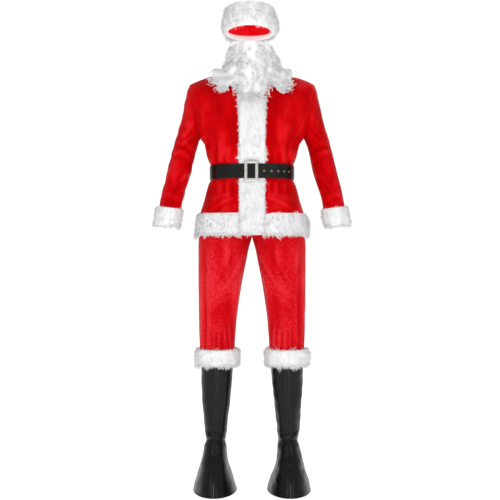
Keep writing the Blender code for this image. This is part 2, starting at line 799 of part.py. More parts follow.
def belt():
    made = []
    path = []  # x, y of the inner surface and of the outer one
    first = plan_angle(BELT_A, abs(BUCKLE_X - STRAP_START))
    last = plan_angle(BELT_A, STRAP_FREE)
    halves = [k / 18 for k in range(18)]
    left = [(first, False, -1)] + [(a, False, -1) for a in halves if a > first + 0.02]
    around = [(a, True, -1) for a in COLUMNS[::-1]] + [(a, True, 1) for a in COLUMNS[1:]]
    right = [(a, False, 1) for a in halves[::-1] if a > last + 0.02] + [(last, False, 1)]
    for across, back, side in left + around + right:
        inner = belt_point(across, back, 0.0)
        outer = belt_point(across, back, BELT_THICK)
        path.append((np.array([inner[0] * side, inner[1]]), np.array([outer[0] * side, outer[1]])))
    for offset, rise in STRAP_LIFT:
        x = BUCKLE_X + offset
        depth = front_outline(x)[0]
        path.append((np.array([x, -(depth + rise)]), np.array([x, -(depth + rise + BELT_THICK)])))
    low, high = BELT_HEIGHT - BELT_HALF, BELT_HEIGHT + BELT_HALF
    grid = [((*inner, low), (*inner, high), (*outer, high), (*outer, low)) for inner, outer in path]
    points, faces = bar_body(np.array(grid))
    strap = add_solid("belt_strap", points, faces, "black_leatherette")
    cutters = []
    for number, (middle, normal) in enumerate(eyelet_holes()):
        hole = turned(((EYELET_HOLE, -0.004), (EYELET_HOLE, 0.008)), middle, normal, 8)
        points = hole.transpose(1, 0, 2)
        cutters.append(add_solid(f"cut_eyelet_{number + 1}", *bar_body(points), "black_leatherette"))
        points, faces = ring_body(turned(EYELET_SECTION, middle, normal, 6))
        made.append(add_solid(f"belt_eyelet_{number + 1}", points, faces, "brass"))
    depth, _ = front_outline(BUCKLE_X)
    hole_x = BUCKLE_X + PRONG_HOLE_X
    low = (hole_x - PRONG_HOLE_HALF, -(depth + 0.0200), BELT_HEIGHT - PRONG_HOLE_HALF)
    high = (hole_x + PRONG_HOLE_HALF + 0.0010, -(depth + 0.0034), BELT_HEIGHT + PRONG_HOLE_HALF)
    cutters.append(add_solid("cut_prong_slot", box_points(low, high), BOX_FACES, "black_leatherette"))
    cut(strap, cutters)
    made.append(strap)

    inner = [(WINDOW_HALF[0] + w, WINDOW_HALF[1] + h, y) for w, h, y in BUCKLE_INNER]
    outer = [(BUCKLE_HALF[0] + w, BUCKLE_HALF[1] + h, y) for w, h, y in BUCKLE_OUTER]
    loops = inner[:1] + outer + inner[1:]
    grid = []
    for sx, sz in ((1, 1), (-1, 1), (-1, -1), (1, -1)):
        grid.append([(BUCKLE_X + sx * w, -(depth + y), BELT_HEIGHT + sz * h) for w, h, y in loops])
    points, faces = ring_body(np.array(grid))
    frame = add_solid("belt_buckle", points, faces, "silver")
    parts = []
    reach = WINDOW_HALF[1] + 0.0050
    low = (BUCKLE_X - BAR_HALF, -(depth + BAR_FRONT), BELT_HEIGHT - reach)
    high = (BUCKLE_X + BAR_HALF, -(depth + BAR_BACK), BELT_HEIGHT + reach)
    parts.append(add_solid("cut_bar", box_points(low, high), BOX_FACES, "silver"))
    for number, side in enumerate((-1, 1)):
        ends = sorted((BELT_HEIGHT + side * (BELT_HALF + 0.0008), BELT_HEIGHT + side * reach))
        low = (BUCKLE_X - BAR_HALF, -(depth + POST_FRONT), ends[0])
        high = (BUCKLE_X + BAR_HALF, -(depth + BAR_BACK), ends[1])
        parts.append(add_solid(f"cut_post_{number + 1}", box_points(low, high), BOX_FACES, "silver"))
    cut(frame, parts, "UNION")
    made.append(frame)

    prong = []
    for offset, out, half in PRONG:
        x = BUCKLE_X + offset
        y = -(depth + out)
        prong.append([
            (x, y + half, BELT_HEIGHT - half),
            (x, y + half, BELT_HEIGHT + half),
            (x, y - half * 0.6, BELT_HEIGHT + half),
            (x, y - half * 0.6, BELT_HEIGHT - half),
        ])
    points, faces = bar_body(np.array(prong))
    made.append(add_solid("belt_prong", points, faces, "brass"))
    return made


# trousers


def leg_point(z, turn, out, back):
    """A point of the left leg: turn 0 on the outer side, pi on the inner one."""
    outer, inner, front, rear = smooth(LEG, z)
    middle, half = (outer + inner) / 2, (outer - inner) / 2
    depth = rear if back else front
    x = middle + (half + out) * math.cos(turn)
    y = (depth + out) * max(math.sin(turn), 0.0) ** LEG_ROUND
    return np.array([x, y if back else -y, z])


def seat_point(z, share, out, back):
    """Above the crotch: share 0 at the side seam, 1 in the middle."""
    outer, middle, front, rear = smooth(SEAT, z)
    half = outer - middle
    depth = rear if back else front
    last = math.acos(max(-1.0, (2 * SEAM - middle) / half)) if half > middle else math.pi
    turn = share * last
    x = middle + (half + out) * math.cos(turn)
    if share == 1.0:
        x = 2 * SEAM
    y = (depth + out) * max(math.sin(turn), 0.0) ** LEG_ROUND
    return np.array([x, y if back else -y, z])


def trousers():
    made = []
    shares = np.linspace(0.0, 1.0, LEG_SIDES + 1)
    for place, back in (("front", False), ("back", True)):
        sign = 1.0 if back else -1.0
        shift = np.array([0.0, sign * SEAM, 0.0])
        out, inside = [], []
        for z in LEG_LEVELS:
            out.append([leg_point(z, s * math.pi, 0.0, back) + shift for s in shares])
            inside.append([leg_point(z, s * math.pi, -LEG_CLOTH, back) + shift for s in shares])
        for z in SEAT_LEVELS:
            out.append([seat_point(z, s, 0.0, back) + shift for s in shares])
            inside.append([seat_point(z, s, -LEG_CLOTH, back) + shift for s in shares])
        points, faces = panel_wall(np.array(out), np.array(inside))
        made.append(add_solid(f"trouser_{place}_left", points, faces, "red_crushed"))
        made.append(add_solid(f"trouser_{place}_right", mirrored(points), faces, "red_crushed"))
    grid = []
    outer, _, front, rear = SEAT[-1][1:]
    for turn in np.linspace(0, 2 * math.pi, 20, endpoint=False):
        depth = rear if math.sin(turn) > 0 else front
        ring = []
        for out, z in WAISTBAND_SECTION:
            ring.append(((outer + out) * math.cos(turn), (depth + out) * math.sin(turn), z))
        grid.append(ring)
    points, faces = ring_body(np.array(grid))
    made.append(add_solid("trouser_waistband", points, faces, "red_crushed"))
    for name, side in (("left", 1), ("right", -1)):
        grid = []
        for turn in np.linspace(0, 2 * math.pi, 2 * LEG_SIDES, endpoint=False):
            ring = []
            back = math.sin(turn) > 0
            for out, z in LEG_FUR_SECTION:
                bump = LEG_FUR_LUMPS * lump(2 * turn, 30 * z) if out > 0.001 else SEAM
                level = min(max(z, LEG_LEVELS[0]), LEG_LEVELS[2])
                base = leg_point(level, turn if back else 2 * math.pi - turn, out + bump, back)
                base[2] = z + (0.6 * bump if out > 0.001 else 0.0)
                ring.append(base)
            grid.append(ring)
        points, faces = ring_body(np.array(grid) * np.array([side, 1, 1]))
        made.append(add_solid("trouser_cuff_fur_" + name, points, faces, "white_fur"))
    return made


# boot covers


def boot_point(z, turn, out):
    """A point of the left boot cover: turn 0 in front, pi at the heel, to the outer side."""
    middle, half, front, rear = smooth(BOOT, z)
    forward = math.cos(turn)
    depth = front if forward > 0 else rear
    return np.array([middle + (half + out) * math.sin(turn), -(depth + out) * forward, z])


def boots():
    made = []
    levels = [row[0] for row in BOOT]
    turns = np.linspace(0.0, math.pi, BOOT_SIDES + 1)
    for part, away in (("outer", 1), ("inner", -1)):
        out = np.array([[boot_point(z, away * t, 0.0) for t in turns] for z in levels])
        inside = np.array([[boot_point(z, away * t, -LEATHERETTE) for t in turns] for z in levels])
        for grid in (out, inside):
            grid[:, :, 0] += away * SEAM
        for name, side in (("left", 1), ("right", -1)):
            shape = np.array([side, 1, 1])
            points, faces = panel_wall(out * shape, inside * shape)
            made.append(add_solid(f"boot_{name}_{part}", points, faces, "black_leatherette"))
    return made


# hat


def hat():
    made = []
    grid = []
    for turn in np.linspace(0, 2 * math.pi, HAT_SIDES, endpoint=False):
        ring = []
        for out, up in HAT_SECTION:
            bump = HAT_LUMPS * lump(2 * turn, 25 * up) if out > 0.001 else 0.0
            x = HAT_X + (HAT_HALF[0] + out + bump) * math.sin(turn)
            y = -(HAT_HALF[1] + out + bump) * math.cos(turn)
            ring.append((x, y, HAT_RIM + HAT_TILT * math.cos(turn) + up + 0.4 * bump))
        grid.append(ring)
    points, faces = ring_body(np.array(grid))
    made.append(add_solid("hat_fur_band", points, faces, "white_fur"))

    def rings(table, less):
        found = []
        for y0, z0, y1, z1, half in table:
            top, under = np.array([y0, z0]), np.array([y1, z1])
            reach = (top - under) / 2
            size = np.linalg.norm(reach)
            ring = []
            for turn in np.linspace(0, 2 * math.pi, HAT_SIDES, endpoint=False):
                flat = (top + under) / 2 + reach * (1 - less / size) * math.cos(turn)
                ring.append((HAT_X + (half - less) * math.sin(turn), flat[0], flat[1]))
            found.append(ring)
        return np.array(found)

    points, faces = tube_wall(rings(CROWN, 0.0), rings(CROWN[:-1], CLOTH), closed_end=True)
    made.append(add_solid("hat_crown", points, faces, "red_pile"))

    x, y, z, radius = POMPOM
    grid = []
    for i in range(1, POMPOM_ROWS):
        lean = math.pi * i / POMPOM_ROWS
        ring = []
        for turn in np.linspace(0, 2 * math.pi, POMPOM_SIDES, endpoint=False):
            size = radius * (1 + 0.05 * lump(turn * 2, i))
            ring.append((
                HAT_X + x + size * math.sin(lean) * math.cos(turn),
                y + size * math.sin(lean) * math.sin(turn),
                z + size * math.cos(lean),
            ))
        grid.append(ring)
    points, faces = bar_body(np.array(grid))
    made.append(add_solid("hat_pompom", points, faces, "white_fur"))
    return made


# beard


def grow_lock(points, faces, root, number, sway):
    """A four-sided lock on a root face, its ring carried out, down and out again in a curl.
    The root starts at its lower corner on -X and goes to +X."""
    start = np.array([points[n] for n in root])
    middle = start.mean(axis=0)
    side = start[1] - start[0]
    width = side[0]
    side /= np.linalg.norm(side)
    signs = ((-1, -1), (1, -1), (1, 1), (-1, 1))
    length = 1.0 + 0.15 * math.sin(2.3 * number)
    ring = list(root)
    last = middle
    for step, (out, down, aside, size) in enumerate(LOCK_RINGS):
        fall = down * length if step else down
        here = middle + np.array([aside * sway, -out, -fall])
        ahead = (here - last) / np.linalg.norm(here - last)
        across = side - ahead * (side @ ahead)
        across /= np.linalg.norm(across)
        rise = np.cross(ahead, across)
        new = list(range(len(points), len(points) + 4))
        points.extend(here + size * width * (a * across + b * rise) for a, b in signs)
        for k in range(4):
            m = (k + 1) % 4
            faces.append((ring[k], ring[m], new[m], new[k]))
        ring = new
        last = here
    faces.append(tuple(ring))


def beard_backing(under):
    """Front and rear grid of the beard's backing, which rests on the chest."""
    tree = tree_of(under)
    front, rear = [], []
    for z, half, depth, thick in BEARD:
        ahead, behind = [], []
        for s in np.linspace(-1.0, 1.0, BEARD_COLUMNS + 1):
            x = s * half
            bend = max(math.cos(s * math.pi / 2), 0.0)
            wave = 0.0020 * math.sin(60 * x + 40 * z) + 0.0015 * math.sin(95 * z - 30 * x)
            face = -BEARD_SIDE_EDGE + (depth - thick + BEARD_SIDE_EDGE) * bend**0.7
            rises = (-0.028, -0.014, 0.0, 0.014) if abs(x) > BEARD_WING else (-0.014, 0.0)
            if z == BEARD[0][0] and abs(x) < BEARD_WING:
                rises = (0.0,)
            near = [(x + dx, z + rise) for dx in (-0.012, 0.0, 0.012) for rise in rises]
            body = max(front_depth(tree, *spot) for spot in near) + 2 * REST
            base = max(face, body)
            full = thick * (0.30 + 0.25 * bend**0.5)
            behind.append((x * 0.985, -base, z))
            ahead.append((x, -(base + full + wave), z))
        front.append(ahead)
        rear.append(behind)
    return np.array(front), np.array(rear)


def beard(under):
    """A curly fibre beard: a curved backing with locks grown from every other cell of its front."""
    front, rear = beard_backing(under)
    points, faces = panel_wall(front, rear)
    if volume_of(points, faces) < 0:
        faces = [tuple(reversed(face)) for face in faces]
    points = [np.array(p) for p in points]
    columns = BEARD_COLUMNS + 1
    middle = (BEARD_COLUMNS - 1) / 2
    for row in range(len(BEARD) - 1):
        for column in range(row % 2, BEARD_COLUMNS, 2):
            corner = row * columns + column
            root = (corner, corner + 1, corner + columns + 1, corner + columns)
            number = next(n for n, face in enumerate(faces) if set(face) == set(root))
            faces[number] = None
            faces = [face for face in faces if face]
            sway = 0.0035 * math.sin(1.7 * column + 2.9 * row) + 0.004 * (column - middle) / middle
            grow_lock(points, faces, root, row * BEARD_COLUMNS + column, sway)
    return add_solid("beard", points, faces, "white_fur")


def main():
    for item in list(bpy.data.objects):
        bpy.data.objects.remove(item, do_unlink=True)
    panels = jacket_panels()
    sleeves()
    sleeve_cuffs()
    strip = front_strip(panels[:2])
    hem_band()
    belt()
    trousers()
    boots()
    hat()
    beard(panels + [strip])


main()
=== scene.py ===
"""The look of a santa suit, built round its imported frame: velvet, crushed velvet, long white fur,
a curly fibre beard, leatherette and metal. Lengths are in metres and heights are above the floor."""

import json
import math

import bpy
import numpy as np
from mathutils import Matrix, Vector
from mathutils.bvhtree import BVHTree
from mathutils.kdtree import KDTree

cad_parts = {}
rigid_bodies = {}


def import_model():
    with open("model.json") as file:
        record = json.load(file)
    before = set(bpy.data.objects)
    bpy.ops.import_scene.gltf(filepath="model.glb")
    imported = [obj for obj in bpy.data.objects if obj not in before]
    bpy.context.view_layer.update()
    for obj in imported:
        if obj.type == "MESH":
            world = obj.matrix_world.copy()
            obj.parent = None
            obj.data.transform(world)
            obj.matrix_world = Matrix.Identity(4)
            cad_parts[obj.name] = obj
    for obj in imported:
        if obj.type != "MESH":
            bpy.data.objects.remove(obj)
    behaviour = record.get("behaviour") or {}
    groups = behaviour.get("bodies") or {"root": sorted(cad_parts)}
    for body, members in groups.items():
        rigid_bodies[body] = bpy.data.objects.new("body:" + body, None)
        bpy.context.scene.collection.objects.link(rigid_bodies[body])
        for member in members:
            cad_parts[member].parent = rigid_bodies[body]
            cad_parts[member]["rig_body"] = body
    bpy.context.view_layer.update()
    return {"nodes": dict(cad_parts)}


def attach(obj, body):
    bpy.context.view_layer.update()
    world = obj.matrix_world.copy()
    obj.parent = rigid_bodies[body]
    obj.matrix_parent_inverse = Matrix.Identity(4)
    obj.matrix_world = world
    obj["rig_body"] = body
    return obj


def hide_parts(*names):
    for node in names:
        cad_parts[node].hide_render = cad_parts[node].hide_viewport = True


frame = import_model()


def tenths(*rows):
    """A table of lengths written in tenths of a millimetre, as metres."""
    return tuple(tuple(value / 10000 for value in row) for row in rows)


ORIGIN_HEIGHT = 1.57
SEAM = 0.00015  # half of the gap left at a seam
REST = 0.0003  # gap between a piece and what it lies on
CLOTH = 0.0018  # pile cloth of the jacket
LEG_CLOTH = 0.0015
LEATHERETTE = 0.0014
SQUARE = 0.85  # below 1 the body's sections are fuller than an ellipse
SIDES = (("left", 1), ("right", -1))

# seeds of the pieces' random draws
FRONT_SEED = 31
BACK_SEED = 41
SLEEVE_SEED = 51
CUFF_SEED = 60
HEM_SEED = 71
STRIP_SEED = 81
LEG_SEED = 90
LEG_FUR_SEED = 100
BOOT_SEED = 110
BAND_SEED = 121
POMPOM_SEED = 131
BEARD_SEED = 141

# height, half width, front depth, back depth of the jacket's outside, hem to armpit
JACKET = tenths(
    (9700, 2075, 1370, 1470),
    (10150, 2050, 1350, 1455),
    (10600, 1985, 1310, 1420),
    (11100, 1830, 1240, 1320),
    (11490, 1730, 1190, 1240),
    (11740, 1645, 1160, 1180),
    (11850, 1582, 1130, 1122),
    (12140, 1578, 1128, 1120),
    (12430, 1582, 1132, 1122),
    (12540, 1630, 1150, 1150),
    (12645, 1675, 1180, 1170),
    (13030, 1770, 1245, 1210),
    (13260, 1840, 1260, 1215),
    (13450, 1985, 1270, 1220),
)
ARMPIT_HEIGHT = 1.3450
ARMPIT_X = 0.1985
SHOULDER_X = 0.2385
SHOULDER_HEIGHT = 1.5530
ARMHOLE_FRONT = 0.070
ARMHOLE_BACK = 0.072
NECK_X = 0.078
NECK_HEIGHT = 1.597
NECK_ACROSS = 1 / 3  # how far across the back its neckline ends
# share of the way up, height, depth of the centre front above the armpit, then the neckline starts
CENTRE_FRONT = (
    (0.00, 1.3450, 0.1270),
    (0.20, 1.4000, 0.1275),
    (0.40, 1.4550, 0.1210),
    (0.58, 1.5000, 0.1080),
)
# the same up the middle of the back, which ends at the neckline
CENTRE_BACK = (
    (0.00, 1.3450, 0.1220),
    (0.35, 1.4250, 0.1250),
    (0.65, 1.4980, 0.1140),
    (1.00, 1.5720, 0.0620),
)

# outer and inner point (x, height) of each sleeve ring, depth, how far forward its middle lies
SLEEVE = tenths(
    (2385, 15530, 1985, 13450, 700, 0),
    (2500, 15260, 2000, 13425, 690, 0),
    (2562, 14955, 2012, 13400, 675, 0),
    (2635, 14570, 2024, 13372, 655, 0),
    (2720, 14185, 2040, 13330, 630, 10),
    (2835, 13800, 2065, 13250, 600, 20),
    (2948, 13460, 2112, 13140, 575, 30),
    (3032, 13120, 2180, 12870, 555, 50),
    (3130, 12760, 2255, 12520, 545, 70),
    (3215, 12390, 2335, 12160, 530, 110),
    (3290, 12010, 2440, 11790, 515, 170),
    (3385, 11640, 2555, 11430, 500, 240),
    (3475, 11260, 2645, 11100, 485, 310),
    (3550, 10890, 2705, 10790, 470, 370),
    (3610, 10530, 2775, 10440, 465, 410),
    (3660, 10180, 2835, 10110, 465, 440),
)
SLEEVE_END = 15
SLEEVE_ASIDE = (0.983, 0.0, -0.189)  # away from the body at the armhole
SLEEVE_ROUND = 56  # points round a sleeve
SLEEVE_RINGS = 110
# how far out and how far along the sleeve, round the cuff fur's section
CUFF_SECTION = (
    (0.0003, 13.00),
    (0.0003, 14.00),
    (0.0003, 15.00),
    (0.0050, 15.35),
    (0.0105, 15.15),
    (0.0120, 14.50),
    (0.0118, 13.70),
    (0.0085, 12.95),
    (0.0035, 12.80),
)

CUFF_LUMPS = 0.0012  # how uneven each fur's body is
HEM_LUMPS = 0.0010
LEG_FUR_LUMPS = 0.0018
HAT_LUMPS = 0.0018

STRIP_HALF = 0.0525
# height, half width, thickness of the front fur strip
STRIP = tenths(
    (9640, 525, 105),
    (9900, 520, 120),
    (10600, 525, 115),
    (11200, 522, 110),
    (11600, 530, 90),
    (11720, 535, 60),
    (11790, 530, 32),
    (11855, 530, 32),
    (12425, 530, 32),
    (12485, 535, 32),
    (12545, 550, 55),
    (12640, 580, 95),
    (12800, 560, 120),
    (13200, 525, 115),
    (13800, 530, 110),
    (14400, 560, 110),
    (14960, 600, 100),
)
# how far out and how high above the hem edge, round the hem fur's section
HEM_SECTION = tenths(
    (3, 900),
    (3, 450),
    (3, -30),
    (50, -80),
    (98, 20),
    (118, 250),
    (115, 560),
    (95, 820),
    (45, 930),
)

BELT_HEIGHT = 1.2140
BELT_HALF = 0.0273
BELT_THICK = 0.0030
BELT_A = 0.1592  # half width of the strap's inner surface from above
BELT_FRONT = 0.1175
BELT_BACK = 0.1134
BUCKLE_X = -0.0030
EYELETS_X = (0.0450, 0.0720, 0.0970, 0.1190, 0.1370)
# radius and height above the strap's inner surface, round an eyelet's section
EYELET_SECTION = tenths(
    (18, 4), (26, 4), (27, 32), (41, 33), (41, 38), (35, 43), (27, 45), (20, 41), (18, 30),
)
STRAP_START = 0.0032  # left of the buckle's middle, where the strap is sewn round the bar
STRAP_FREE = 0.0470  # where the overlapping end leaves the belt's own line
# from the buckle's middle, how far the overlapping end stands off
STRAP_LIFT = tenths(
    (380, 8),
    (310, 22),
    (240, 34),
    (120, 40),
    (60, 58),
    (0, 64),
    (-60, 58),
    (-120, 42),
    (-200, 34),
    (-345, 34),
)

# height, outer x, inner x, front depth, back depth of a trouser leg's outside, below the crotch
LEG = tenths(
    (4760, 2000, 680, 690, 700),
    (5150, 2000, 680, 700, 710),
    (5400, 2005, 665, 740, 750),
    (5715, 2020, 650, 810, 830),
    (6100, 2035, 620, 860, 880),
    (6485, 2040, 590, 890, 910),
    (7255, 2050, 490, 960, 980),
    (8025, 2060, 366, 1030, 1080),
    (8795, 2060, 215, 1110, 1170),
    (9300, 2062, 110, 1150, 1200),
    (9560, 2050, 32, 1160, 1210),
)
# height, outer x, middle of the section, front depth, back depth above the crotch
SEAT = tenths(
    (9560, 2050, 1041, 1160, 1210),
    (9700, 2043, 984, 1155, 1210),
    (9900, 2000, 840, 1150, 1210),
    (10200, 1860, 580, 1150, 1210),
    (10500, 1770, 270, 1140, 1190),
    (10800, 1700, 40, 1130, 1200),
    (11200, 1560, 0, 1060, 1080),
)
# how far out and the height, round the waistband's section
WAISTBAND_SECTION = tenths(
    (0, 11203),
    (16, 11300),
    (16, 11480),
    (0, 11560),
    (-25, 11560),
    (-25, 11203),
)
LEG_ROUND = 0.92  # below 1 the legs' sections are fuller than an ellipse
# out and height round the leg cuff fur's section
LEG_FUR_SECTION = tenths(
    (3, 5400),
    (3, 5150),
    (3, 4700),
    (120, 4630),
    (235, 4720),
    (262, 4960),
    (255, 5200),
    (190, 5400),
    (80, 5470),
)

# height, middle x, half width, front depth, back depth of a boot cover
BOOT = tenths(
    (0, 1420, 840, 1700, 850),
    (350, 1430, 750, 1560, 820),
    (710, 1440, 630, 1340, 790),
    (1095, 1440, 520, 1080, 740),
    (1400, 1425, 460, 840, 690),
    (1580, 1412, 425, 740, 640),
    (1720, 1400, 398, 650, 600),
    (1865, 1386, 385, 590, 570),
    (2040, 1386, 400, 550, 560),
    (2700, 1386, 466, 540, 590),
    (3405, 1376, 535, 580, 640),
    (4000, 1367, 580, 610, 660),
    (4560, 1350, 618, 645, 670),
    (5040, 1340, 640, 678, 686),
)


HAT_X = -0.0090
HAT_RIM = 1.7540
HAT_TILT = 0.0090
HAT_HALF = (0.0890, 0.1040)
# how far out and how high above the rim, round the hat band's section
HAT_SECTION = tenths(
    (3, 800),
    (3, 400),
    (3, 40),
    (90, -10),
    (190, 90),
    (236, 290),
    (236, 560),
    (195, 780),
    (90, 900),
)
# front or upper point (y, height), back or under point, half width of each ring of the hat's crown
CROWN = tenths(
    (-1035, 17650, 1035, 17480, 886),
    (-1030, 18000, 1030, 17950, 880),
    (-980, 18300, 1025, 18330, 850),
    (-600, 18510, 1080, 18470, 750),
    (250, 18680, 1170, 18510, 590),
    (1300, 18700, 1290, 18470, 460),
    (1650, 18480, 1350, 18400, 430),
    (1780, 18050, 1420, 18080, 380),
    (1800, 17550, 1460, 17560, 310),
    (1780, 17050, 1500, 17060, 230),
    (1730, 16700, 1550, 16700, 130),
)
# the pompom's middle (x from the hat's, y, height) and radius
POMPOM = (0.0, 0.1640, 1.6369, 0.0350)

# height, half width, front depth, thickness of the beard
BEARD = tenths(
    (14900, 560, 1500, 300),
    (15080, 1060, 1500, 330),
    (15300, 1460, 1500, 350),
    (15550, 1620, 1490, 360),
    (15800, 1620, 1480, 370),
    (16030, 1400, 1460, 370),
    (16250, 1130, 1430, 360),
    (16550, 980, 1390, 330),
    (16850, 900, 1330, 280),
    (17050, 860, 1250, 200),
)
BEARD_WING = 0.0600  # beyond this from the middle it hangs over the shoulder
BEARD_SIDE_EDGE = 0.0200  # depth of its side edges in front of the body's axis
# distance from the middle and height of the lower edge of its backing
BEARD_EDGE = tenths(
    (0, 14900),
    (460, 14940),
    (600, 15360),
    (840, 15380),
    (960, 15140),
    (1220, 15160),
    (1380, 15450),
    (1580, 15750),
)
LOCKS = 400  # the last quarter of them grow from its lower edge
LOCK_HAIRS = 6
LOCK_STEPS = 11


# shapes shared by all pieces


def smooth(table, where):
    """The table's other columns at values of its first one, along a smooth curve through its rows."""
    rows = np.array(table)
    keys = rows[:, 0]
    where = np.clip(np.asarray(where, float), keys[0], keys[-1])
    slopes = np.gradient(rows[:, 1:], keys, axis=0)
    i = np.clip(np.searchsorted(keys, where) - 1, 0, len(keys) - 2)
    span = (keys[i + 1] - keys[i])[..., None]
    s = (where - keys[i])[..., None] / span
    found = (
        (2 * s**3 - 3 * s**2 + 1) * rows[i, 1:]
        + (s**3 - 2 * s**2 + s) * span * slopes[i]
        + (3 * s**2 - 2 * s**3) * rows[i + 1, 1:]
        + (s**3 - s**2) * span * slopes[i + 1]
    )
    return np.moveaxis(found, -1, 0)


def linear(table, where):
    """The table's other columns at values of its first one, along straight lines."""
    rows = np.array(table)
    return [np.interp(where, rows[:, 0], rows[:, k]) for k in range(1, rows.shape[1])]


def numbered(table):
    """The table with each row's number before it."""
    return [(float(i), *row) for i, row in enumerate(table)]


def full_turn(count):
    """Angles round a closed ring, in even steps."""
    return np.linspace(0, 2 * math.pi, count, endpoint=False)


def closed_curve(section, count):
    """A closed section's points, resampled along a smooth curve through them."""
    rows = np.array(section)
    wrapped = np.concatenate([rows[-3:], rows, rows[:3]])
    keys = np.arange(-3, len(rows) + 3)
    table = np.column_stack([keys, wrapped])
    x, y = smooth(table, np.linspace(0, len(rows), count, endpoint=False))
    return np.column_stack([np.maximum(x, rows[0, 0]), y])


def unit(vectors):
    """The vectors at length 1."""
    return vectors / np.maximum(np.linalg.norm(vectors, axis=-1, keepdims=True), 1e-12)


def lump(a, b):
    """A slow unevenness between -1 and 1."""
    slow = 0.5 * np.sin(2.7 * a + 1.3 * b)
    return slow + 0.3 * np.sin(5.9 * a - 2.1 * b + 1.0) + 0.2 * np.sin(9.1 * a + 4.0 * b)


def wander(points, size, seed):
    """A slow random vector field: three sums of waves of about the given size."""
    rng = np.random.default_rng(seed)
    found = np.zeros_like(points)
    for k in range(3):
        for _ in range(5):
            wave = rng.normal(size=3) * 2 * math.pi / size / 1.7
            found[..., k] += np.sin(points @ wave + rng.uniform(0, 6.28)) / 2.2
    return found


def creases(table, x, z):
    """How far cloth stands out along creases: each goes from one point to another, bowed, tapering."""
    total = np.zeros_like(x)
    for x0, z0, x1, z1, bow, width, height in table:
        dx, dz = x1 - x0, z1 - z0
        length = math.hypot(dx, dz)
        along = ((x - x0) * dx + (z - z0) * dz) / length**2
        inside = np.clip(along, 0.0, 1.0)
        off = ((x - x0) * dz - (z - z0) * dx) / length - bow * 4 * inside * (1 - inside)
        over = (along - inside) * length
        fade = np.sin(math.pi * (0.08 + 0.84 * inside)) ** 0.6
        total += height * fade * np.exp(-((off / width) ** 2) - (over / (1.5 * width)) ** 2)
    return total


def facing(normals, outwards):
    """The normals, turned to the side that the given directions point to."""
    return -normals if float((normals * outwards).sum()) < 0 else normals


def grid_normals(grid):
    """Unit normals of a grid, pointing away from the body's axis."""
    normals = unit(np.cross(np.gradient(grid, axis=0), np.gradient(grid, axis=1)))
    return facing(normals, grid * (1, 1, 0))


# meshes


def grid_faces(rows, columns, around, start=0):
    """The quads of a grid of points that is numbered row by row."""
    across = columns if around else columns - 1
    i, j = np.meshgrid(np.arange(rows - 1), np.arange(across), indexing="ij")
    k = (j + 1) % columns
    upper, lower = i * columns, (i + 1) * columns
    return np.stack([upper + j, upper + k, lower + k, lower + j], axis=-1).reshape(-1, 4) + start


def between(loop, other):
    """Quads between two matching closed loops of point numbers."""
    loop, other = np.asarray(loop), np.asarray(other)
    return np.stack([np.roll(loop, -1), loop, other, np.roll(other, -1)], axis=-1)


def volume_of(points, faces):
    """Six times the volume inside the faces, below 0 if they point inwards."""
    total = 0.0
    for group in faces:
        for k in range(1, group.shape[1] - 1):
            a, b, c = points[group[:, 0]], points[group[:, k]], points[group[:, k + 1]]
            total += float(np.einsum("ij,ij->i", a, np.cross(b, c)).sum())
    return total


CUT_EDGE = math.radians(55.0)  # sharper edges than this are cut edges of a wall


def turned_out(points, faces):
    """The faces, turned round if they point inwards."""
    return [group[:, ::-1] for group in faces] if volume_of(points, faces) < 0 else faces


def add_mesh(name, shape, look, nodes=(), turn=True, fold_shade=None):
    """A mesh from its points and faces. It rides on the root body and stands for its nodes.

    The last argument says for each point of a wall's two skins how far its fold stands out, which the cloth's
    colour turns into painted shade in the troughs and painted highlights on the ridges.
    """
    points, faces = shape
    if turn:
        faces = turned_out(points, faces)
    mesh = bpy.data.meshes.new(name)
    mesh.vertices.add(len(points))
    mesh.vertices.foreach_set("co", (points - (0.0, 0.0, ORIGIN_HEIGHT)).astype(np.float32).ravel())
    corners = np.concatenate([group.ravel() for group in faces])
    sizes = np.concatenate([np.full(len(group), group.shape[1]) for group in faces])
    starts = np.concatenate([[0], np.cumsum(sizes)[:-1]])
    mesh.loops.add(len(corners))
    mesh.loops.foreach_set("vertex_index", corners.astype(np.int32))
    mesh.polygons.add(len(sizes))
    mesh.polygons.foreach_set("loop_start", starts.astype(np.int32))
    mesh.update(calc_edges=True)
    mesh.polygons.foreach_set("use_smooth", np.ones(len(sizes), bool))
    if turn:
        mesh.set_sharp_from_angle(angle=CUT_EDGE)
    mesh.materials.append(look)
    # each point's fold height, for the cloth's colour to paint shade into the troughs and highlights onto the
    # ridges
    if fold_shade is not None:
        values = np.concatenate([fold_shade.ravel(), fold_shade.ravel()])
        stored = mesh.attributes.new("fold_shade", "FLOAT", "POINT")
        stored.data.foreach_set("value", np.clip(values / FOLD, -1.0, 1.0).astype(np.float32))
    made = bpy.data.objects.new(name, mesh)
    bpy.context.scene.collection.objects.link(made)
    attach(made, "root")
    if nodes:
        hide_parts(*nodes)
    return made


def panel_wall(outside, inside):
    """The closed wall between two matching grids: its points and faces."""
    rows, columns, _ = outside.shape
    count = rows * columns
    points = np.concatenate([outside.reshape(-1, 3), inside.reshape(-1, 3)])
    number = np.arange(count).reshape(rows, columns)
    edge = np.concatenate([number[0], number[1:, -1], number[-1, -2::-1], number[-2:0:-1, 0]])
    faces = np.concatenate([
        grid_faces(rows, columns, False),
        grid_faces(rows, columns, False, count)[:, ::-1],
        between(edge, edge + count),
    ])
    return points, [faces]


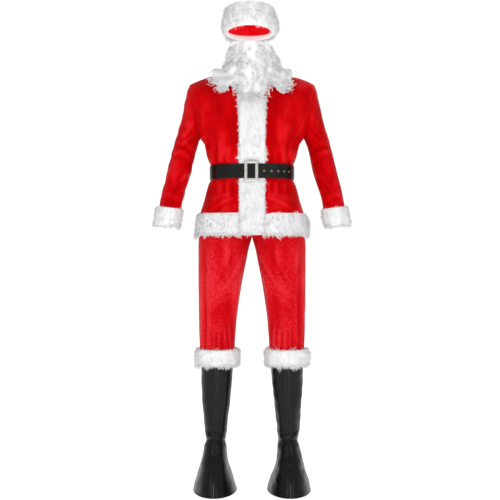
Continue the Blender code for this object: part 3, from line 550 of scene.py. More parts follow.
def tube_wall(outside, inside, closed_end=False):
    """The closed wall between two tubes, open at both ends or capped at the last rows."""
    rows, columns, _ = outside.shape
    inner_rows = inside.shape[0]
    count = rows * columns
    points = np.concatenate([outside.reshape(-1, 3), inside.reshape(-1, 3)])
    first = np.arange(columns)
    last = (rows - 1) * columns + first
    inner_last = count + (inner_rows - 1) * columns + first
    faces = [
        grid_faces(rows, columns, True),
        grid_faces(inner_rows, columns, True, count)[:, ::-1],
        between(first, first + count),
    ]
    if closed_end:
        return points, [np.concatenate(faces), last[None, :], inner_last[None, ::-1]]
    faces.append(between(last, inner_last)[:, ::-1])
    return points, [np.concatenate(faces)]


def ring_shape(grid):
    """A closed ring's points and faces: rows go round it, columns round its section."""
    rows, columns, _ = grid.shape
    first = np.arange(columns)
    last = (rows - 1) * columns + first
    faces = [np.concatenate([grid_faces(rows, columns, True), between(last, first)[:, ::-1]])]
    return grid.reshape(-1, 3), faces


def bar_shape(grid):
    """An open bar's points and faces, with both ends capped."""
    rows, columns, _ = grid.shape
    first = np.arange(columns)
    faces = [grid_faces(rows, columns, True), first[None, ::-1], (first + (rows - 1) * columns)[None, :]]
    return grid.reshape(-1, 3), faces


# fur

TIP_WIDTH = 0.25  # a strand's width before its tip, as a share of that at its root
TUFT_EVERY = 11  # strands to each leading one
TUFT_PULL = 0.62  # how far a tip is drawn to the leading one's
TUFT_REACH = 0.009
TUFT_STRETCH = 1.15
FUR_SOFTNESS = 0.62  # share of the fur body's own direction in the strands' shading
ROOT_DEPTH = 0.0015  # how far below the body's surface strands begin
LENGTHS = (0.75, 1.15)  # of a fur's strands, as shares of its length
WIDTHS = (0.7, 1.2)
LEANS = (0.35, 0.35 + 1.3)  # of a strand's two stretches, as shares of its fur's lean
RAGGED_EDGE = 0.010  # height of the lowest band, which grows four times as many strands

# strands, their length, how far they lean over, their width
CUFF_PILE = (4600, 0.0130, 0.50, 0.0011)
HEM_PILE = (12500, 0.0195, 0.80, 0.0014)
STRIP_PILE = (7800, 0.0135, 0.82, 0.0012)
LEG_PILE = (5600, 0.0170, 0.50, 0.0015)
BAND_PILE = (9000, 0.0165, 0.55, 0.0014)
POMPOM_PILE = (3000, 0.0130, 0.18, 0.0013)


def roots_on(points, quads, count, rng):
    """Random places on quads, by area: their points and normals."""
    a, b, c, d = (points[quads[:, k]] for k in range(4))
    cross = np.cross(c - a, d - b)
    area = np.linalg.norm(cross, axis=1)
    pick = rng.choice(len(quads), count, p=area / area.sum())
    u, v = rng.uniform(size=(2, count, 1))
    near = (1 - u) * (1 - v) * a[pick] + u * (1 - v) * b[pick]
    return near + u * v * c[pick] + (1 - u) * v * d[pick], unit(cross)[pick]


def strand_mesh(paths, widths):
    """Three-sided tapering strands: paths is strands x rings x 3. The last ring is a tip."""
    count, rings, _ = paths.shape
    along = unit(np.gradient(paths, axis=1))
    side = unit(np.cross(along, np.array([0.31, 0.52, 0.79])))
    other = np.cross(along, side)
    turns = np.arange(3) * 2 * math.pi / 3
    shape = np.linspace(1.0, TIP_WIDTH, rings - 1)
    ring = side[:, :-1, None] * np.cos(turns)[:, None] + other[:, :-1, None] * np.sin(turns)[:, None]
    ring = paths[:, :-1, None] + ring * (widths[:, None, None, None] / 2 * shape[None, :, None, None])
    block = (rings - 1) * 3 + 1
    points = np.concatenate([ring.reshape(count, -1, 3), paths[:, -1:]], axis=1).reshape(-1, 3)
    quads, tips = [], []
    for k in range(rings - 2):
        for m in range(3):
            n = (m + 1) % 3
            quads.append((3 * k + m, 3 * k + n, 3 * k + 3 + n, 3 * k + 3 + m))
    for m in range(3):
        tips.append((3 * (rings - 2) + m, 3 * (rings - 2) + (m + 1) % 3, block - 1))
    tips.append((2, 1, 0))
    start = (np.arange(count) * block)[:, None, None]
    return points, [(start + np.array(quads)).reshape(-1, 4), (start + np.array(tips)).reshape(-1, 3)]


def joined(parts):
    """Several (points, faces) as one."""
    points, groups, start = [], [], 0
    for more, faces in parts:
        points.append(more)
        groups += [group + start for group in faces]
        start += len(more)
    return np.concatenate(points), groups


def tufted(paths, rng):
    """Draws strands together towards the tips of leading ones, as long pile clumps."""
    leaders = rng.choice(len(paths), len(paths) // TUFT_EVERY, replace=False)
    tree = KDTree(len(leaders))
    for number, leader in enumerate(leaders):
        tree.insert(paths[leader, 0], number)
    tree.balance()
    nearest = leaders[[tree.find(root)[1] for root in paths[:, 0]]]
    near = np.linalg.norm(paths[:, 0] - paths[nearest, 0], axis=1) < TUFT_REACH
    drawn = paths.copy()
    for k in range(1, paths.shape[1]):
        pull = (TUFT_PULL * (k / (paths.shape[1] - 1)) ** 0.8 * near)[:, None]
        tip = paths[nearest, 0] + (paths[nearest, k] - paths[nearest, 0]) * TUFT_STRETCH
        drawn[:, k] = (1 - pull) * paths[:, k] + pull * tip
    return drawn


def soften(item, start, normals, share):
    """Shades strands mostly as the surface they grow from, as light spreads through deep fur."""
    mesh = item.data
    own = np.empty(len(mesh.vertices) * 3, np.float32)
    mesh.vertices.foreach_get("normal", own)
    own = own.reshape(-1, 3).astype(float)
    block = (len(own) - start) // len(normals)
    own[start:] = unit((1 - share) * own[start:] + share * np.repeat(normals, block, axis=0))
    mesh.normals_split_custom_set_from_vertices(own.tolist())


def strand_paths(roots, normal, comb, length, lean, rng):
    """Strands of two stretches that leave along the normal and bend over towards the comb direction."""
    count = len(roots)
    growth = np.clip(1 + 0.32 * wander(roots, 0.022, 11)[:, :1], 0.6, 1.6)
    size = length * rng.uniform(*LENGTHS, (count, 1)) * growth
    jitter = rng.normal(size=(count, 3)) * 0.16
    clump = wander(roots, 0.040, 5) * 0.40 + wander(roots, 0.017, 9) * 0.34
    steps = [roots - ROOT_DEPTH * normal]
    for share in LEANS:
        bend = lean * share
        way = unit(normal * (1 - 0.55 * bend) + (comb + clump) * bend + jitter)
        steps.append(steps[-1] + way * size / 2)
    return np.stack(steps, axis=1)


# materials

FOLD = 0.0055  # a fold that stands out so far gets the lightest painted highlight, and a trough as deep the darkest painted shade
PILE_GRAIN = 900.0
FULL_WHITE = (1.0, 1.0, 1.0, 1.0)


def new_material(name):
    """A new material with its nodes, links and main shader."""
    made = bpy.data.materials.new(name)
    made.use_nodes = True
    return made, made.node_tree.nodes, made.node_tree.links, made.node_tree.nodes["Principled BSDF"]


def adjust(node, values):
    """Sets uniform values on a node's own sockets."""
    for socket, value in values.items():
        node.inputs[socket].default_value = value


def noise(nodes, links, where, scale, detail=2.0, roughness=0.5):
    found = nodes.new("ShaderNodeTexNoise")
    adjust(found, {"Scale": scale, "Detail": detail, "Roughness": roughness})
    links.new(where, found.inputs["Vector"])
    return found


def place(nodes, links, scale=(1.0, 1.0, 1.0)):
    """Where on the object a point lies, scaled."""
    source = nodes.new("ShaderNodeTexCoord")
    moved = nodes.new("ShaderNodeMapping")
    moved.inputs["Scale"].default_value = scale
    links.new(source.outputs["Object"], moved.inputs["Vector"])
    return moved.outputs["Vector"]


def ramp(nodes, links, source, stops):
    """The source's value as colours between stops."""
    found = nodes.new("ShaderNodeValToRGB")
    found.color_ramp.elements[0].position = stops[0][0]
    found.color_ramp.elements[0].color = (*stops[0][1], 1.0)
    found.color_ramp.elements[1].position = stops[-1][0]
    found.color_ramp.elements[1].color = (*stops[-1][1], 1.0)
    for where, colour in stops[1:-1]:
        found.color_ramp.elements.new(where).color = (*colour, 1.0)
    links.new(source, found.inputs["Fac"])
    return found.outputs["Color"]


def grey(value):
    return (value, value, value)


def rough_by(nodes, links, source, low, high, shader):
    """Roughness between two values, by a source."""
    links.new(ramp(nodes, links, source, ((0.3, grey(low)), (0.7, grey(high)))), shader.inputs["Roughness"])


def bump(nodes, links, height, strength, distance, under=None):
    """A fine relief, on top of the one under it if any."""
    found = nodes.new("ShaderNodeBump")
    adjust(found, {"Strength": strength, "Distance": distance})
    links.new(height, found.inputs["Height"])
    if under:
        links.new(under, found.inputs["Normal"])
    return found.outputs["Normal"]


def sum_of(nodes, links, first, second, share, shift):
    """First plus a share of second, shifted."""
    scaled = nodes.new("ShaderNodeMath")
    scaled.operation = "MULTIPLY_ADD"
    links.new(second, scaled.inputs[0])
    scaled.inputs[1].default_value = share
    scaled.inputs[2].default_value = shift
    total = nodes.new("ShaderNodeMath")
    total.operation = "ADD"
    links.new(first, total.inputs[0])
    links.new(scaled.outputs[0], total.inputs[1])
    return total.outputs[0]


def pile(name, dark, middle, light, stretch, mottle):
    """A short pile cloth: brushed patches that catch the light, a fine grain, a soft sheen, and painted shade
    in its folds' troughs with painted highlights on their ridges.

    Each shade is where it lies in the mottle, then its colour.
    """
    made, nodes, links, shader = new_material(name)
    where = place(nodes, links, stretch)
    patches = noise(nodes, links, where, mottle, 4.0, 0.62)
    brushed = noise(nodes, links, where, 7.0, 3.0, 0.5)
    # each point's fold height paints shade into the troughs and highlights onto the ridges of the cloth's
    # colour
    fold = nodes.new("ShaderNodeAttribute")
    fold.attribute_name = "fold_shade"
    shade = sum_of(nodes, links, patches.outputs["Fac"], brushed.outputs["Fac"], 0.55, -0.275)
    shade = sum_of(nodes, links, shade, fold.outputs["Fac"], 0.17, 0.0)
    links.new(ramp(nodes, links, shade, (dark, middle, light)), shader.inputs["Base Color"])
    rough_by(nodes, links, shade, 0.70, 0.46, shader)
    fine = noise(nodes, links, place(nodes, links), PILE_GRAIN)
    soft = bump(nodes, links, patches.outputs["Fac"], 0.35, 0.0012)
    links.new(bump(nodes, links, fine.outputs["Fac"], 0.35, 0.0006, soft), shader.inputs["Normal"])
    adjust(shader, {
        "Sheen Weight": 0.30,
        "Sheen Roughness": 0.30,
        "Sheen Tint": (1.0, 0.04, 0.06, 1.0),
        "Specular IOR Level": 0.12,
        "Specular Tint": (1.0, 0.12, 0.12, 1.0),
    })
    return made


def fur_material(name, dark, light):
    """Fibres that differ a little in shade, with a faint painted glow from emission that stands in for light
    passing through deep pile.
    """
    made, nodes, links, shader = new_material(name)
    info = nodes.new("ShaderNodeNewGeometry")
    shades = ramp(nodes, links, info.outputs["Random Per Island"], ((0.0, dark), (1.0, light)))
    links.new(shades, shader.inputs["Base Color"])
    # the emission is a painted glow: the fibres give off a little white light, though they are no lamp
    adjust(shader, {
        "Roughness": 0.65,
        "Sheen Weight": 0.35,
        "Sheen Roughness": 0.5,
        "Emission Color": FULL_WHITE,
        "Emission Strength": 0.05,
    })
    fine = noise(nodes, links, place(nodes, links), 700.0)
    links.new(bump(nodes, links, fine.outputs["Fac"], 0.2, 0.0005), shader.inputs["Normal"])
    return made


def leatherette(name, colour, roughness, grain):
    """A coated cloth with a fine grain and a soft gloss."""
    made, nodes, links, shader = new_material(name)
    where = place(nodes, links)
    cells = nodes.new("ShaderNodeTexVoronoi")
    cells.inputs["Scale"].default_value = grain
    links.new(where, cells.inputs["Vector"])
    waves = noise(nodes, links, where, 38.0, 3.0)
    rough_by(nodes, links, waves.outputs["Fac"], roughness - 0.06, roughness + 0.08, shader)
    slow = bump(nodes, links, waves.outputs["Fac"], 0.07, 0.0015)
    links.new(bump(nodes, links, cells.outputs["Distance"], 0.05, 0.0003, slow), shader.inputs["Normal"])
    adjust(shader, {
        "Base Color": (*colour, 1.0),
        "Specular IOR Level": 0.14,
        "Coat Weight": 0.13,
        "Coat Roughness": 0.22,
    })
    return made


def metal(name, colour, roughness):
    made, nodes, links, shader = new_material(name)
    adjust(shader, {"Base Color": (*colour, 1.0), "Metallic": 1.0})
    marks = noise(nodes, links, place(nodes, links, (1.0, 1.0, 6.0)), 300.0, 3.0)
    rough_by(nodes, links, marks.outputs["Fac"], roughness - 0.05, roughness + 0.1, shader)
    links.new(bump(nodes, links, marks.outputs["Fac"], 0.06, 0.0002), shader.inputs["Normal"])
    return made


VELVET = pile(
    "velvet",
    dark=(0.30, (0.43, 0.0002, 0.0015)),
    middle=(0.52, (0.56, 0.0004, 0.0025)),
    light=(0.72, (0.68, 0.008, 0.013)),
    stretch=(1.0, 1.0, 0.45),
    mottle=14.0,
)
CRUSHED = pile(
    "crushed_velvet",
    dark=(0.30, (0.50, 0.001, 0.004)),
    middle=(0.5, (0.60, 0.004, 0.010)),
    light=(0.72, (0.72, 0.026, 0.036)),
    stretch=(1.0, 1.0, 0.6),
    mottle=230.0,
)
# the crown's inner skin: the velvet's pile in a far lighter red, painted light that stands in for the light
# falling inside the crown
PAINTED_LIGHT_LINING = pile(
    "hat_lining_painted_light",
    dark=(0.30, (0.75, 0.002, 0.008)),
    middle=(0.5, (0.85, 0.006, 0.016)),
    light=(0.72, (0.92, 0.03, 0.05)),
    stretch=(1.0, 1.0, 3.0),
    mottle=30.0,
)
FUR = fur_material("long_fur", (0.82, 0.82, 0.83), (0.89, 0.89, 0.90))
FIBRE = fur_material("beard_fibre", (0.80, 0.80, 0.80), (0.96, 0.96, 0.955))
LEATHER = leatherette("boot_leatherette", (0.0035, 0.0035, 0.004), 0.30, 900.0)
STRAP = leatherette("strap_leatherette", (0.004, 0.0042, 0.0045), 0.33, 1100.0)
SILVER = metal("silver", (0.78, 0.76, 0.72), 0.22)
BRASS = metal("brass", (0.42, 0.33, 0.19), 0.32)


# jacket

# each crease on one side, in front: from x, height to x, height, its bow, half width, how far it stands out
FRONT_CREASES = tenths(
    (1120, 14900, 1120, 13000, 60, 240, 50),
    (1580, 14650, 1500, 13200, -60, 180, -55),
    (700, 14400, 760, 12900, 40, 180, -35),
    (1380, 13350, 1360, 12420, 30, 55, -60),
    (1550, 13000, 1520, 12420, 0, 65, 40),
    (1150, 13150, 1160, 12420, 0, 100, 40),
    (1050, 12850, 1040, 12420, 0, 45, -35),
    (880, 13000, 880, 12420, 0, 80, 35),
    (720, 12950, 710, 12420, 0, 45, -45),
    (600, 13300, 620, 12450, 0, 80, 30),
    (1380, 11860, 1400, 11240, 20, 48, -55),
    (1230, 11860, 1240, 11350, 0, 80, 40),
    (1060, 11860, 1050, 11280, 0, 45, -50),
    (900, 11860, 900, 11300, 0, 75, 45),
    (760, 11860, 750, 11330, 0, 42, -45),
    (620, 11850, 620, 11300, 0, 70, 40),
    (520, 11180, 1420, 10760, -60, 65, 55),
    (560, 11040, 1300, 10660, -60, 80, -35),
    (750, 11280, 1450, 11100, -40, 55, 45),
    (1520, 11500, 1900, 10800, 40, 120, -40),
    (2050, 14900, 2040, 13700, 40, 120, -45),
    (1720, 12600, 1880, 13250, 0, 100, 40),
    (900, 15450, 1800, 15000, 60, 140, -35),
)
BACK_CREASES = tenths(
    (400, 15100, 500, 13200, 60, 240, 45),
    (1150, 14700, 1050, 13000, -60, 200, -50),
    (1600, 14300, 1400, 12900, 40, 160, 45),
    (150, 13300, 130, 12420, 0, 60, -50),
    (380, 13050, 360, 12420, 0, 80, 45),
    (600, 13200, 580, 12420, 0, 50, -50),
    (850, 13000, 830, 12420, 0, 80, 40),
    (1080, 13150, 1060, 12420, 0, 55, -55),
    (1320, 12900, 1300, 12420, 0, 70, 40),
    (250, 11860, 270, 11100, 0, 50, -50),
    (480, 11860, 520, 11200, 0, 80, 45),
    (720, 11860, 780, 11000, 0, 55, -50),
    (1000, 11860, 1080, 11150, 0, 80, 45),
    (1250, 11860, 1360, 11100, 0, 55, -50),
    (100, 14850, 1300, 15300, 100, 140, -40),
    (1900, 14600, 1850, 13600, 40, 120, -45),
)
SLEEVE_FRONT = tenths(
    (2420, 15180, 2150, 14600, 0, 65, 60),
    (2320, 15000, 2080, 14450, 0, 60, -40),
    (2350, 14600, 2260, 14000, 40, 100, 40),
    (2600, 14300, 2500, 13600, -40, 100, -40),
    (2360, 13750, 2600, 13450, -30, 60, 60),
    (2260, 13650, 2480, 13370, -30, 50, -50),
    (2300, 13480, 2580, 13180, -40, 60, 60),
    (2280, 13300, 2540, 13050, -40, 45, -45),
    (2250, 13020, 2900, 13220, -120, 80, 50),
    (2300, 12860, 2950, 13050, -120, 60, -45),
    (2360, 12680, 3000, 12900, -100, 80, 45),
    (2420, 12500, 3050, 12700, -100, 60, -40),
    (2400, 12220, 2640, 11850, 30, 65, 55),
    (2560, 12300, 2820, 11880, 30, 70, -45),
    (2520, 11680, 2780, 11330, 30, 65, 55),
    (2700, 11750, 2950, 11350, 30, 60, -45),
    (2950, 12400, 3200, 11600, -40, 100, 40),
    (2750, 11100, 3350, 11300, -80, 70, 45),
    (2900, 10980, 3450, 11120, -60, 60, -40),
)
SLEEVE_BACK = tenths(
    (2300, 15000, 2250, 14200, 40, 110, -45),
    (2600, 14700, 2500, 13900, -40, 110, 40),
    (2200, 13450, 2900, 13650, 100, 80, 55),
    (2250, 13250, 2950, 13430, 100, 60, -50),
    (2280, 13050, 3000, 13180, 100, 80, 50),
    (2350, 12800, 3050, 12950, 100, 60, -45),
    (2500, 12200, 3200, 12350, 80, 80, 45),
    (2600, 11700, 3300, 11900, 80, 70, -45),
    (2750, 11300, 3400, 11450, 60, 70, 45),
)
# heights of the rows up to the armpit, then armpit height plus the share of the way up from there
JACKET_ROWS = np.concatenate([
    np.linspace(JACKET[0][0], ARMPIT_HEIGHT, 72),
    ARMPIT_HEIGHT + np.linspace(0.0, 1.0, 42)[1:],
])
ACROSS = np.linspace(0.0, 1.0, 42)
BELT_PRESSED = 0.012  # creases rise to their height within this distance of the strap


def armhole(share, back):
    """A point of the armhole's edge: share 0 at the armpit, 1 at the shoulder."""
    turn = math.pi * share
    up = (1 - math.cos(turn)) / 2
    depth = ARMHOLE_BACK if back else -ARMHOLE_FRONT
    x = ARMPIT_X + (SHOULDER_X - ARMPIT_X) * up
    z = ARMPIT_HEIGHT + (SHOULDER_HEIGHT - ARMPIT_HEIGHT) * up
    return np.array([x, depth * math.sin(turn), z])


def neckline(share, back):
    """Points of the neckline: share 0 in the middle, 1 at the shoulder seam."""
    _, z, depth = (CENTRE_BACK if back else CENTRE_FRONT)[-1]
    turn = math.pi / 2 * share
    rise = np.clip(np.sin(turn), 0.0, 1.0) ** 1.4
    return np.stack([
        NECK_X * np.sin(turn),
        (1.0 if back else -1.0) * depth * np.cos(turn),
        z + (NECK_HEIGHT - z) * rise,
    ], axis=-1)


def shoulder_seam(share):
    """Points of the shoulder seam: share 0 at the neck, 1 at the shoulder."""
    share = np.asarray(share, float)
    return np.stack([
        NECK_X + (SHOULDER_X - NECK_X) * share,
        np.zeros_like(share),
        NECK_HEIGHT + (SHOULDER_HEIGHT - NECK_HEIGHT) * np.clip(share, 0.0, 1.0) ** 1.8,
    ], axis=-1)


def front_edge(share):
    """The edge that the front starts from: up the middle, then along the neckline."""
    last = CENTRE_FRONT[-1][0]
    if share > last:
        return neckline(np.array((share - last) / (1 - last)), False)
    z, depth = smooth(CENTRE_FRONT, share)
    return np.array([0.0, -float(depth), float(z)])


def back_patch(across, side, middle, share):
    """The back above the armpit, between its four edges."""
    level = np.full_like(side, ARMPIT_HEIGHT)
    bottom = np.stack([ARMPIT_X * side, CENTRE_BACK[0][2] * middle, level], axis=1)
    top = np.where(
        (across < NECK_ACROSS)[:, None],
        neckline(np.minimum(across / NECK_ACROSS, 1.0), True),
        shoulder_seam((across - NECK_ACROSS) / (1 - NECK_ACROSS)),
    )
    z, depth = smooth(CENTRE_BACK, share)
    start = np.array([0.0, float(depth), float(z)])
    side = side[:, None]
    corners = (
        (1 - side) * (1 - share) * np.array([0.0, CENTRE_BACK[0][2], ARMPIT_HEIGHT])
        + side * (1 - share) * np.array([ARMPIT_X, 0.0, ARMPIT_HEIGHT])
        + (1 - side) * share * neckline(np.array(0.0), True)
        + side * share * shoulder_seam(1.0)
    )
    return (1 - share) * bottom + share * top + (1 - side) * start + side * armhole(share, True) - corners


def jacket_row(across, level, back):
    """A line round the jacket's outside, from the middle at 0 to the side at 1."""
    turn = across * math.pi / 2
    side = np.clip(np.sin(turn), 0.0, 1.0) ** SQUARE
    middle = np.clip(np.cos(turn), 0.0, 1.0) ** SQUARE
    if level <= ARMPIT_HEIGHT:
        half, front, rear = (float(v) for v in smooth(JACKET, level))
        y = rear * middle + SEAM if back else -front * middle - SEAM
        return np.stack([half * side, y, np.full_like(side, level)], axis=1)
    share = level - ARMPIT_HEIGHT
    if back:
        return back_patch(across, side, middle, share) + (0.0, SEAM, 0.0)
    start, end = front_edge(share), armhole(share, False)
    return np.stack([
        start[0] + (end[0] - start[0]) * side,
        end[1] + (start[1] - end[1]) * middle - SEAM,
        start[2] + (end[2] - start[2]) * side ** (1.0 + 0.8 * share),
    ], axis=1)


def edge_fade(shape, rows=6, columns=5):
    """0 at the borders of a grid and 1 inside it, so that neighbours still meet at their seams."""
    i = np.minimum(np.arange(shape[0]), shape[0] - 1 - np.arange(shape[0])) / rows
    j = np.minimum(np.arange(shape[1]), shape[1] - 1 - np.arange(shape[1])) / columns
    soft = [np.clip(v, 0.0, 1.0) ** 2 * (3 - 2 * np.clip(v, 0.0, 1.0)) for v in (i, j)]
    return soft[0][:, None] * soft[1][None, :]


def belt_fade(z):
    """0 under the belt, where the strap presses the cloth flat."""
    away = np.abs(z - BELT_HEIGHT) - BELT_HALF
    return np.clip(away / BELT_PRESSED, 0.0, 1.0)


def dressed(grid, normals, table, fade, seed):
    """A grid pushed along its normals by its creases and a slow unevenness of its own, and how far."""
    x, z = np.abs(grid[:, :, 0]), grid[:, :, 2]
    drift = wander(grid, 0.11, seed)[..., 0] * 0.0016
    drift += wander(grid, 0.045, seed + 1)[..., 1] * 0.0007
    push = (creases(table, x, z) + drift) * fade
    return grid + normals * push[..., None], push


def make_jacket():
    front = np.array([jacket_row(ACROSS, level, False) for level in JACKET_ROWS])
    normals = grid_normals(front)
    fronts = []
    for name, side in SIDES:
        fade = edge_fade(front.shape) * belt_fade(front[:, :, 2])
        out, push = dressed(front, normals, FRONT_CREASES, fade, FRONT_SEED + side)
        out[:, 0, 0] = np.maximum(out[:, 0, 0], 2 * SEAM)
        inside = out - CLOTH * normals
        inside[:, 0, 0] = np.maximum(inside[:, 0, 0], 2 * SEAM)
        inside[:, -1, 1] = np.minimum(inside[:, -1, 1], -SEAM)
        inside[-1, :, 1] = np.minimum(inside[-1, :, 1], -SEAM)
        shape = (side, 1, 1)
        wall = panel_wall(out * shape, inside * shape)
        node = "jacket_front_" + name
        fronts.append(add_mesh("velvet_front_" + name, wall, VELVET, [node], fold_shade=push))
    half = np.array([jacket_row(ACROSS, level, True) for level in JACKET_ROWS])
    back = np.concatenate([half[:, :0:-1] * (-1.0, 1.0, 1.0), half], axis=1)
    normals = grid_normals(back)
    fade = edge_fade(back.shape) * belt_fade(back[:, :, 2])
    out, push = dressed(back, normals, BACK_CREASES, fade, BACK_SEED)
    inside = out - CLOTH * normals
    inside[:, [0, -1], 1] = np.maximum(inside[:, [0, -1], 1], SEAM)
    inside[-1, :, 1] = np.maximum(inside[-1, :, 1], SEAM)
    add_mesh("velvet_back", panel_wall(out, inside), VELVET, ["jacket_back"], fold_shade=push)
    return fronts


def sleeve_ring(along, turns, out):
    """A ring of the left sleeve at a place along it, in rings of its table."""
    row = [float(v) for v in smooth(numbered(SLEEVE), along)]
    outer, inner = np.array([row[0], 0.0, row[1]]), np.array([row[2], 0.0, row[3]])
    reach = (outer - inner) / 2
    size = np.linalg.norm(reach)
    ring = (outer + inner) / 2 - reach * (1 + out / size) * np.cos(turns)[:, None]
    depth = row[4] + np.where((np.sin(turns) < 0) & (along < 1), 0.002, 0.0)
    ring[:, 1] = -(depth + out) * np.sin(turns) - row[5]
    return ring


def make_sleeves():
    turns = full_turn(SLEEVE_ROUND)
    places = np.linspace(0.0, float(SLEEVE_END), SLEEVE_RINGS)
    out = np.array([sleeve_ring(a, turns, 0.0) for a in places])
    aside = np.array(SLEEVE_ASIDE) * 2 * REST
    out[:6] += aside
    middle = out.mean(axis=1, keepdims=True)
    wrapped = np.concatenate([out[:, -1:], out, out[:, :1]], axis=1)
    normals = unit(np.cross(np.gradient(out, axis=0), np.gradient(wrapped, axis=1)[:, 1:-1]))
    normals = facing(normals, out - middle)
    front = np.clip(np.sin(turns), 0.0, 1.0) ** 0.5
    back = np.clip(-np.sin(turns), 0.0, 1.0) ** 0.5
    start = np.clip(places / 0.8, 0.0, 1.0) * np.clip((SLEEVE_END - places) / 1.5, 0.0, 1.0)
    for name, side in SIDES:
        x, z = out[:, :, 0], out[:, :, 2]
        push = creases(SLEEVE_FRONT, x, z) * front + creases(SLEEVE_BACK, x, z) * back
        push += wander(out, 0.07, SLEEVE_SEED + side)[..., 0] * 0.0015
        shell = out + normals * (push * start[:, None])[..., None]
        shape = (side, 1, 1)
        wall = tube_wall(shell * shape, (shell - CLOTH * normals) * shape)
        node = "jacket_sleeve_" + name
        add_mesh("velvet_sleeve_" + name, wall, VELVET, [node], fold_shade=push)


# fur of the jacket

# points of each fur's grid: round its section, then along it
CUFF_GRID = (22, 72)
HEM_GRID = (26, 44, 52)  # along one front, then along half the back
STRIP_GRID = (23, 150)
LEG_FUR_GRID = (26, 84)
BAND_GRID = (28, 96)
POMPOM_GRID = (40, 24)
# share of its section's thickness that each fur's body has, the rest being strands
CUFF_BODY = 0.62
HEM_BODY = 0.60
STRIP_BODY = 0.62
LEG_FUR_BODY = 0.66
BAND_BODY = 0.62
THIN_RISE = 0.004  # a thin body's lumps are full where its section is this far out
THICK_RISE = 0.006


def tree_of(objects):
    """What rays can be cast at: the given objects' meshes, with heights above the floor."""
    points, faces = [], []
    for item in objects:
        start = len(points)
        points += [v.co + Vector((0, 0, ORIGIN_HEIGHT)) for v in item.data.vertices]
        faces += [tuple(start + n for n in p.vertices) for p in item.data.polygons]
    return BVHTree.FromPolygons(points, faces)


def front_depth(tree, x, z):
    """How far in front of the body's axis the tree's first face lies, or -1 where there is none."""
    x = x if abs(x) > 0.001 else 0.001
    hit = tree.ray_cast(Vector((x, -1.0, z)), Vector((0, 1, 0)))[0]
    return -hit.y if hit else -1.0


DOWN = (0.0, 0.0, -1.0)


def outer_quads(shape, section, least):
    """The quads of a swept section that lie further out than least, which grow strands."""
    outside = section[:, 0] > least
    return shape[1][0][outside[shape[1][0] % len(section)].all(axis=1)]


def fur_piece(name, node, shape, grown, look, comb, seed, plain=()):
    """A fur body with strands on the quads that grow any, and plain parts beside it.

    Comb is a direction, or a function that gives one for each root.
    """
    count, length, lean, width = look
    rng = np.random.default_rng(seed)
    points, faces = shape
    if volume_of(points, faces) < 0:
        faces = [group[:, ::-1] for group in faces]
        grown = grown[:, ::-1]
    heights = points[grown][:, :, 2].mean(axis=1)
    low = grown[heights < heights.min() + RAGGED_EDGE]
    where, normal = roots_on(points, np.concatenate([grown, low, low, low]), count, rng)
    way = comb(where) if callable(comb) else np.array(comb)
    paths = tufted(strand_paths(where, normal, way, length, lean, rng), rng)
    strands = strand_mesh(paths, rng.uniform(*WIDTHS, count) * width)
    bodies = joined([(points, faces), *plain])
    item = add_mesh(name, joined([bodies, strands]), FUR, [node], turn=False)
    soften(item, len(bodies[0]), normal, FUR_SOFTNESS)


CUFF_TOP = 13.15  # places along the sleeve that the fur's body lies between
CUFF_BOTTOM = 15.22


def make_cuffs():
    top, bottom = CUFF_SECTION[-1][1], CUFF_SECTION[3][1]
    span = CUFF_BOTTOM - CUFF_TOP
    drawn_in = [(out, CUFF_TOP + (along - top) / (bottom - top) * span) for out, along in CUFF_SECTION]
    section = closed_curve(drawn_in, CUFF_GRID[0])
    turns = full_turn(CUFF_GRID[1])
    for name, side in SIDES:
        columns = []
        for out, along in section:
            last = min(along, SLEEVE_END)
            size = REST + (out - REST) * CUFF_BODY
            lumps = size + CUFF_LUMPS * lump(3 * turns, along) * min(out / THIN_RISE, 1.0)
            ring = np.array([sleeve_ring(last, turns[k:k + 1], lumps[k])[0] for k in range(len(turns))])
            step = sleeve_ring(SLEEVE_END, turns, size) - sleeve_ring(SLEEVE_END - 1, turns, size)
            columns.append(ring + step * (along - last) * 0.8)
        shape = ring_shape(np.stack(columns, axis=1) * (side, 1, 1))
        grown = outer_quads(shape, section, 0.0025)
        down = sleeve_ring(SLEEVE_END, turns, 0.0).mean(axis=0) - sleeve_ring(13, turns, 0.0).mean(axis=0)
        comb = unit(down * (side, 1, 1))
        node = "jacket_cuff_fur_" + name
        fur_piece("cuff_fur_" + name, node, shape, grown, CUFF_PILE, comb, CUFF_SEED + side)


HEM_TUCK = 0.011  # how far the hem's ends go in beside the strip
HEM_DROP = 0.007  # how much lower the top of its body lies than its section says
HEM_HEIGHT = 0.815  # height of its body, as a share of its section's
HEM_ENDS = 0.55  # how much thinner its ends are


def hem_path(level):
    """The jacket's outline at a height, from one side of the front strip round the back to the other."""
    first = math.asin(((STRIP_HALF - HEM_TUCK) / JACKET[0][1]) ** (1 / SQUARE)) / (math.pi / 2)
    front = np.linspace(first, 1.0, HEM_GRID[1])
    back = np.linspace(1.0, 0.0, HEM_GRID[2])[1:]
    level = max(level, JACKET[0][0])
    half = np.concatenate([jacket_row(front, level, False), jacket_row(back, level, True)])
    return np.concatenate([half, half[-2::-1] * (-1.0, 1.0, 1.0)])


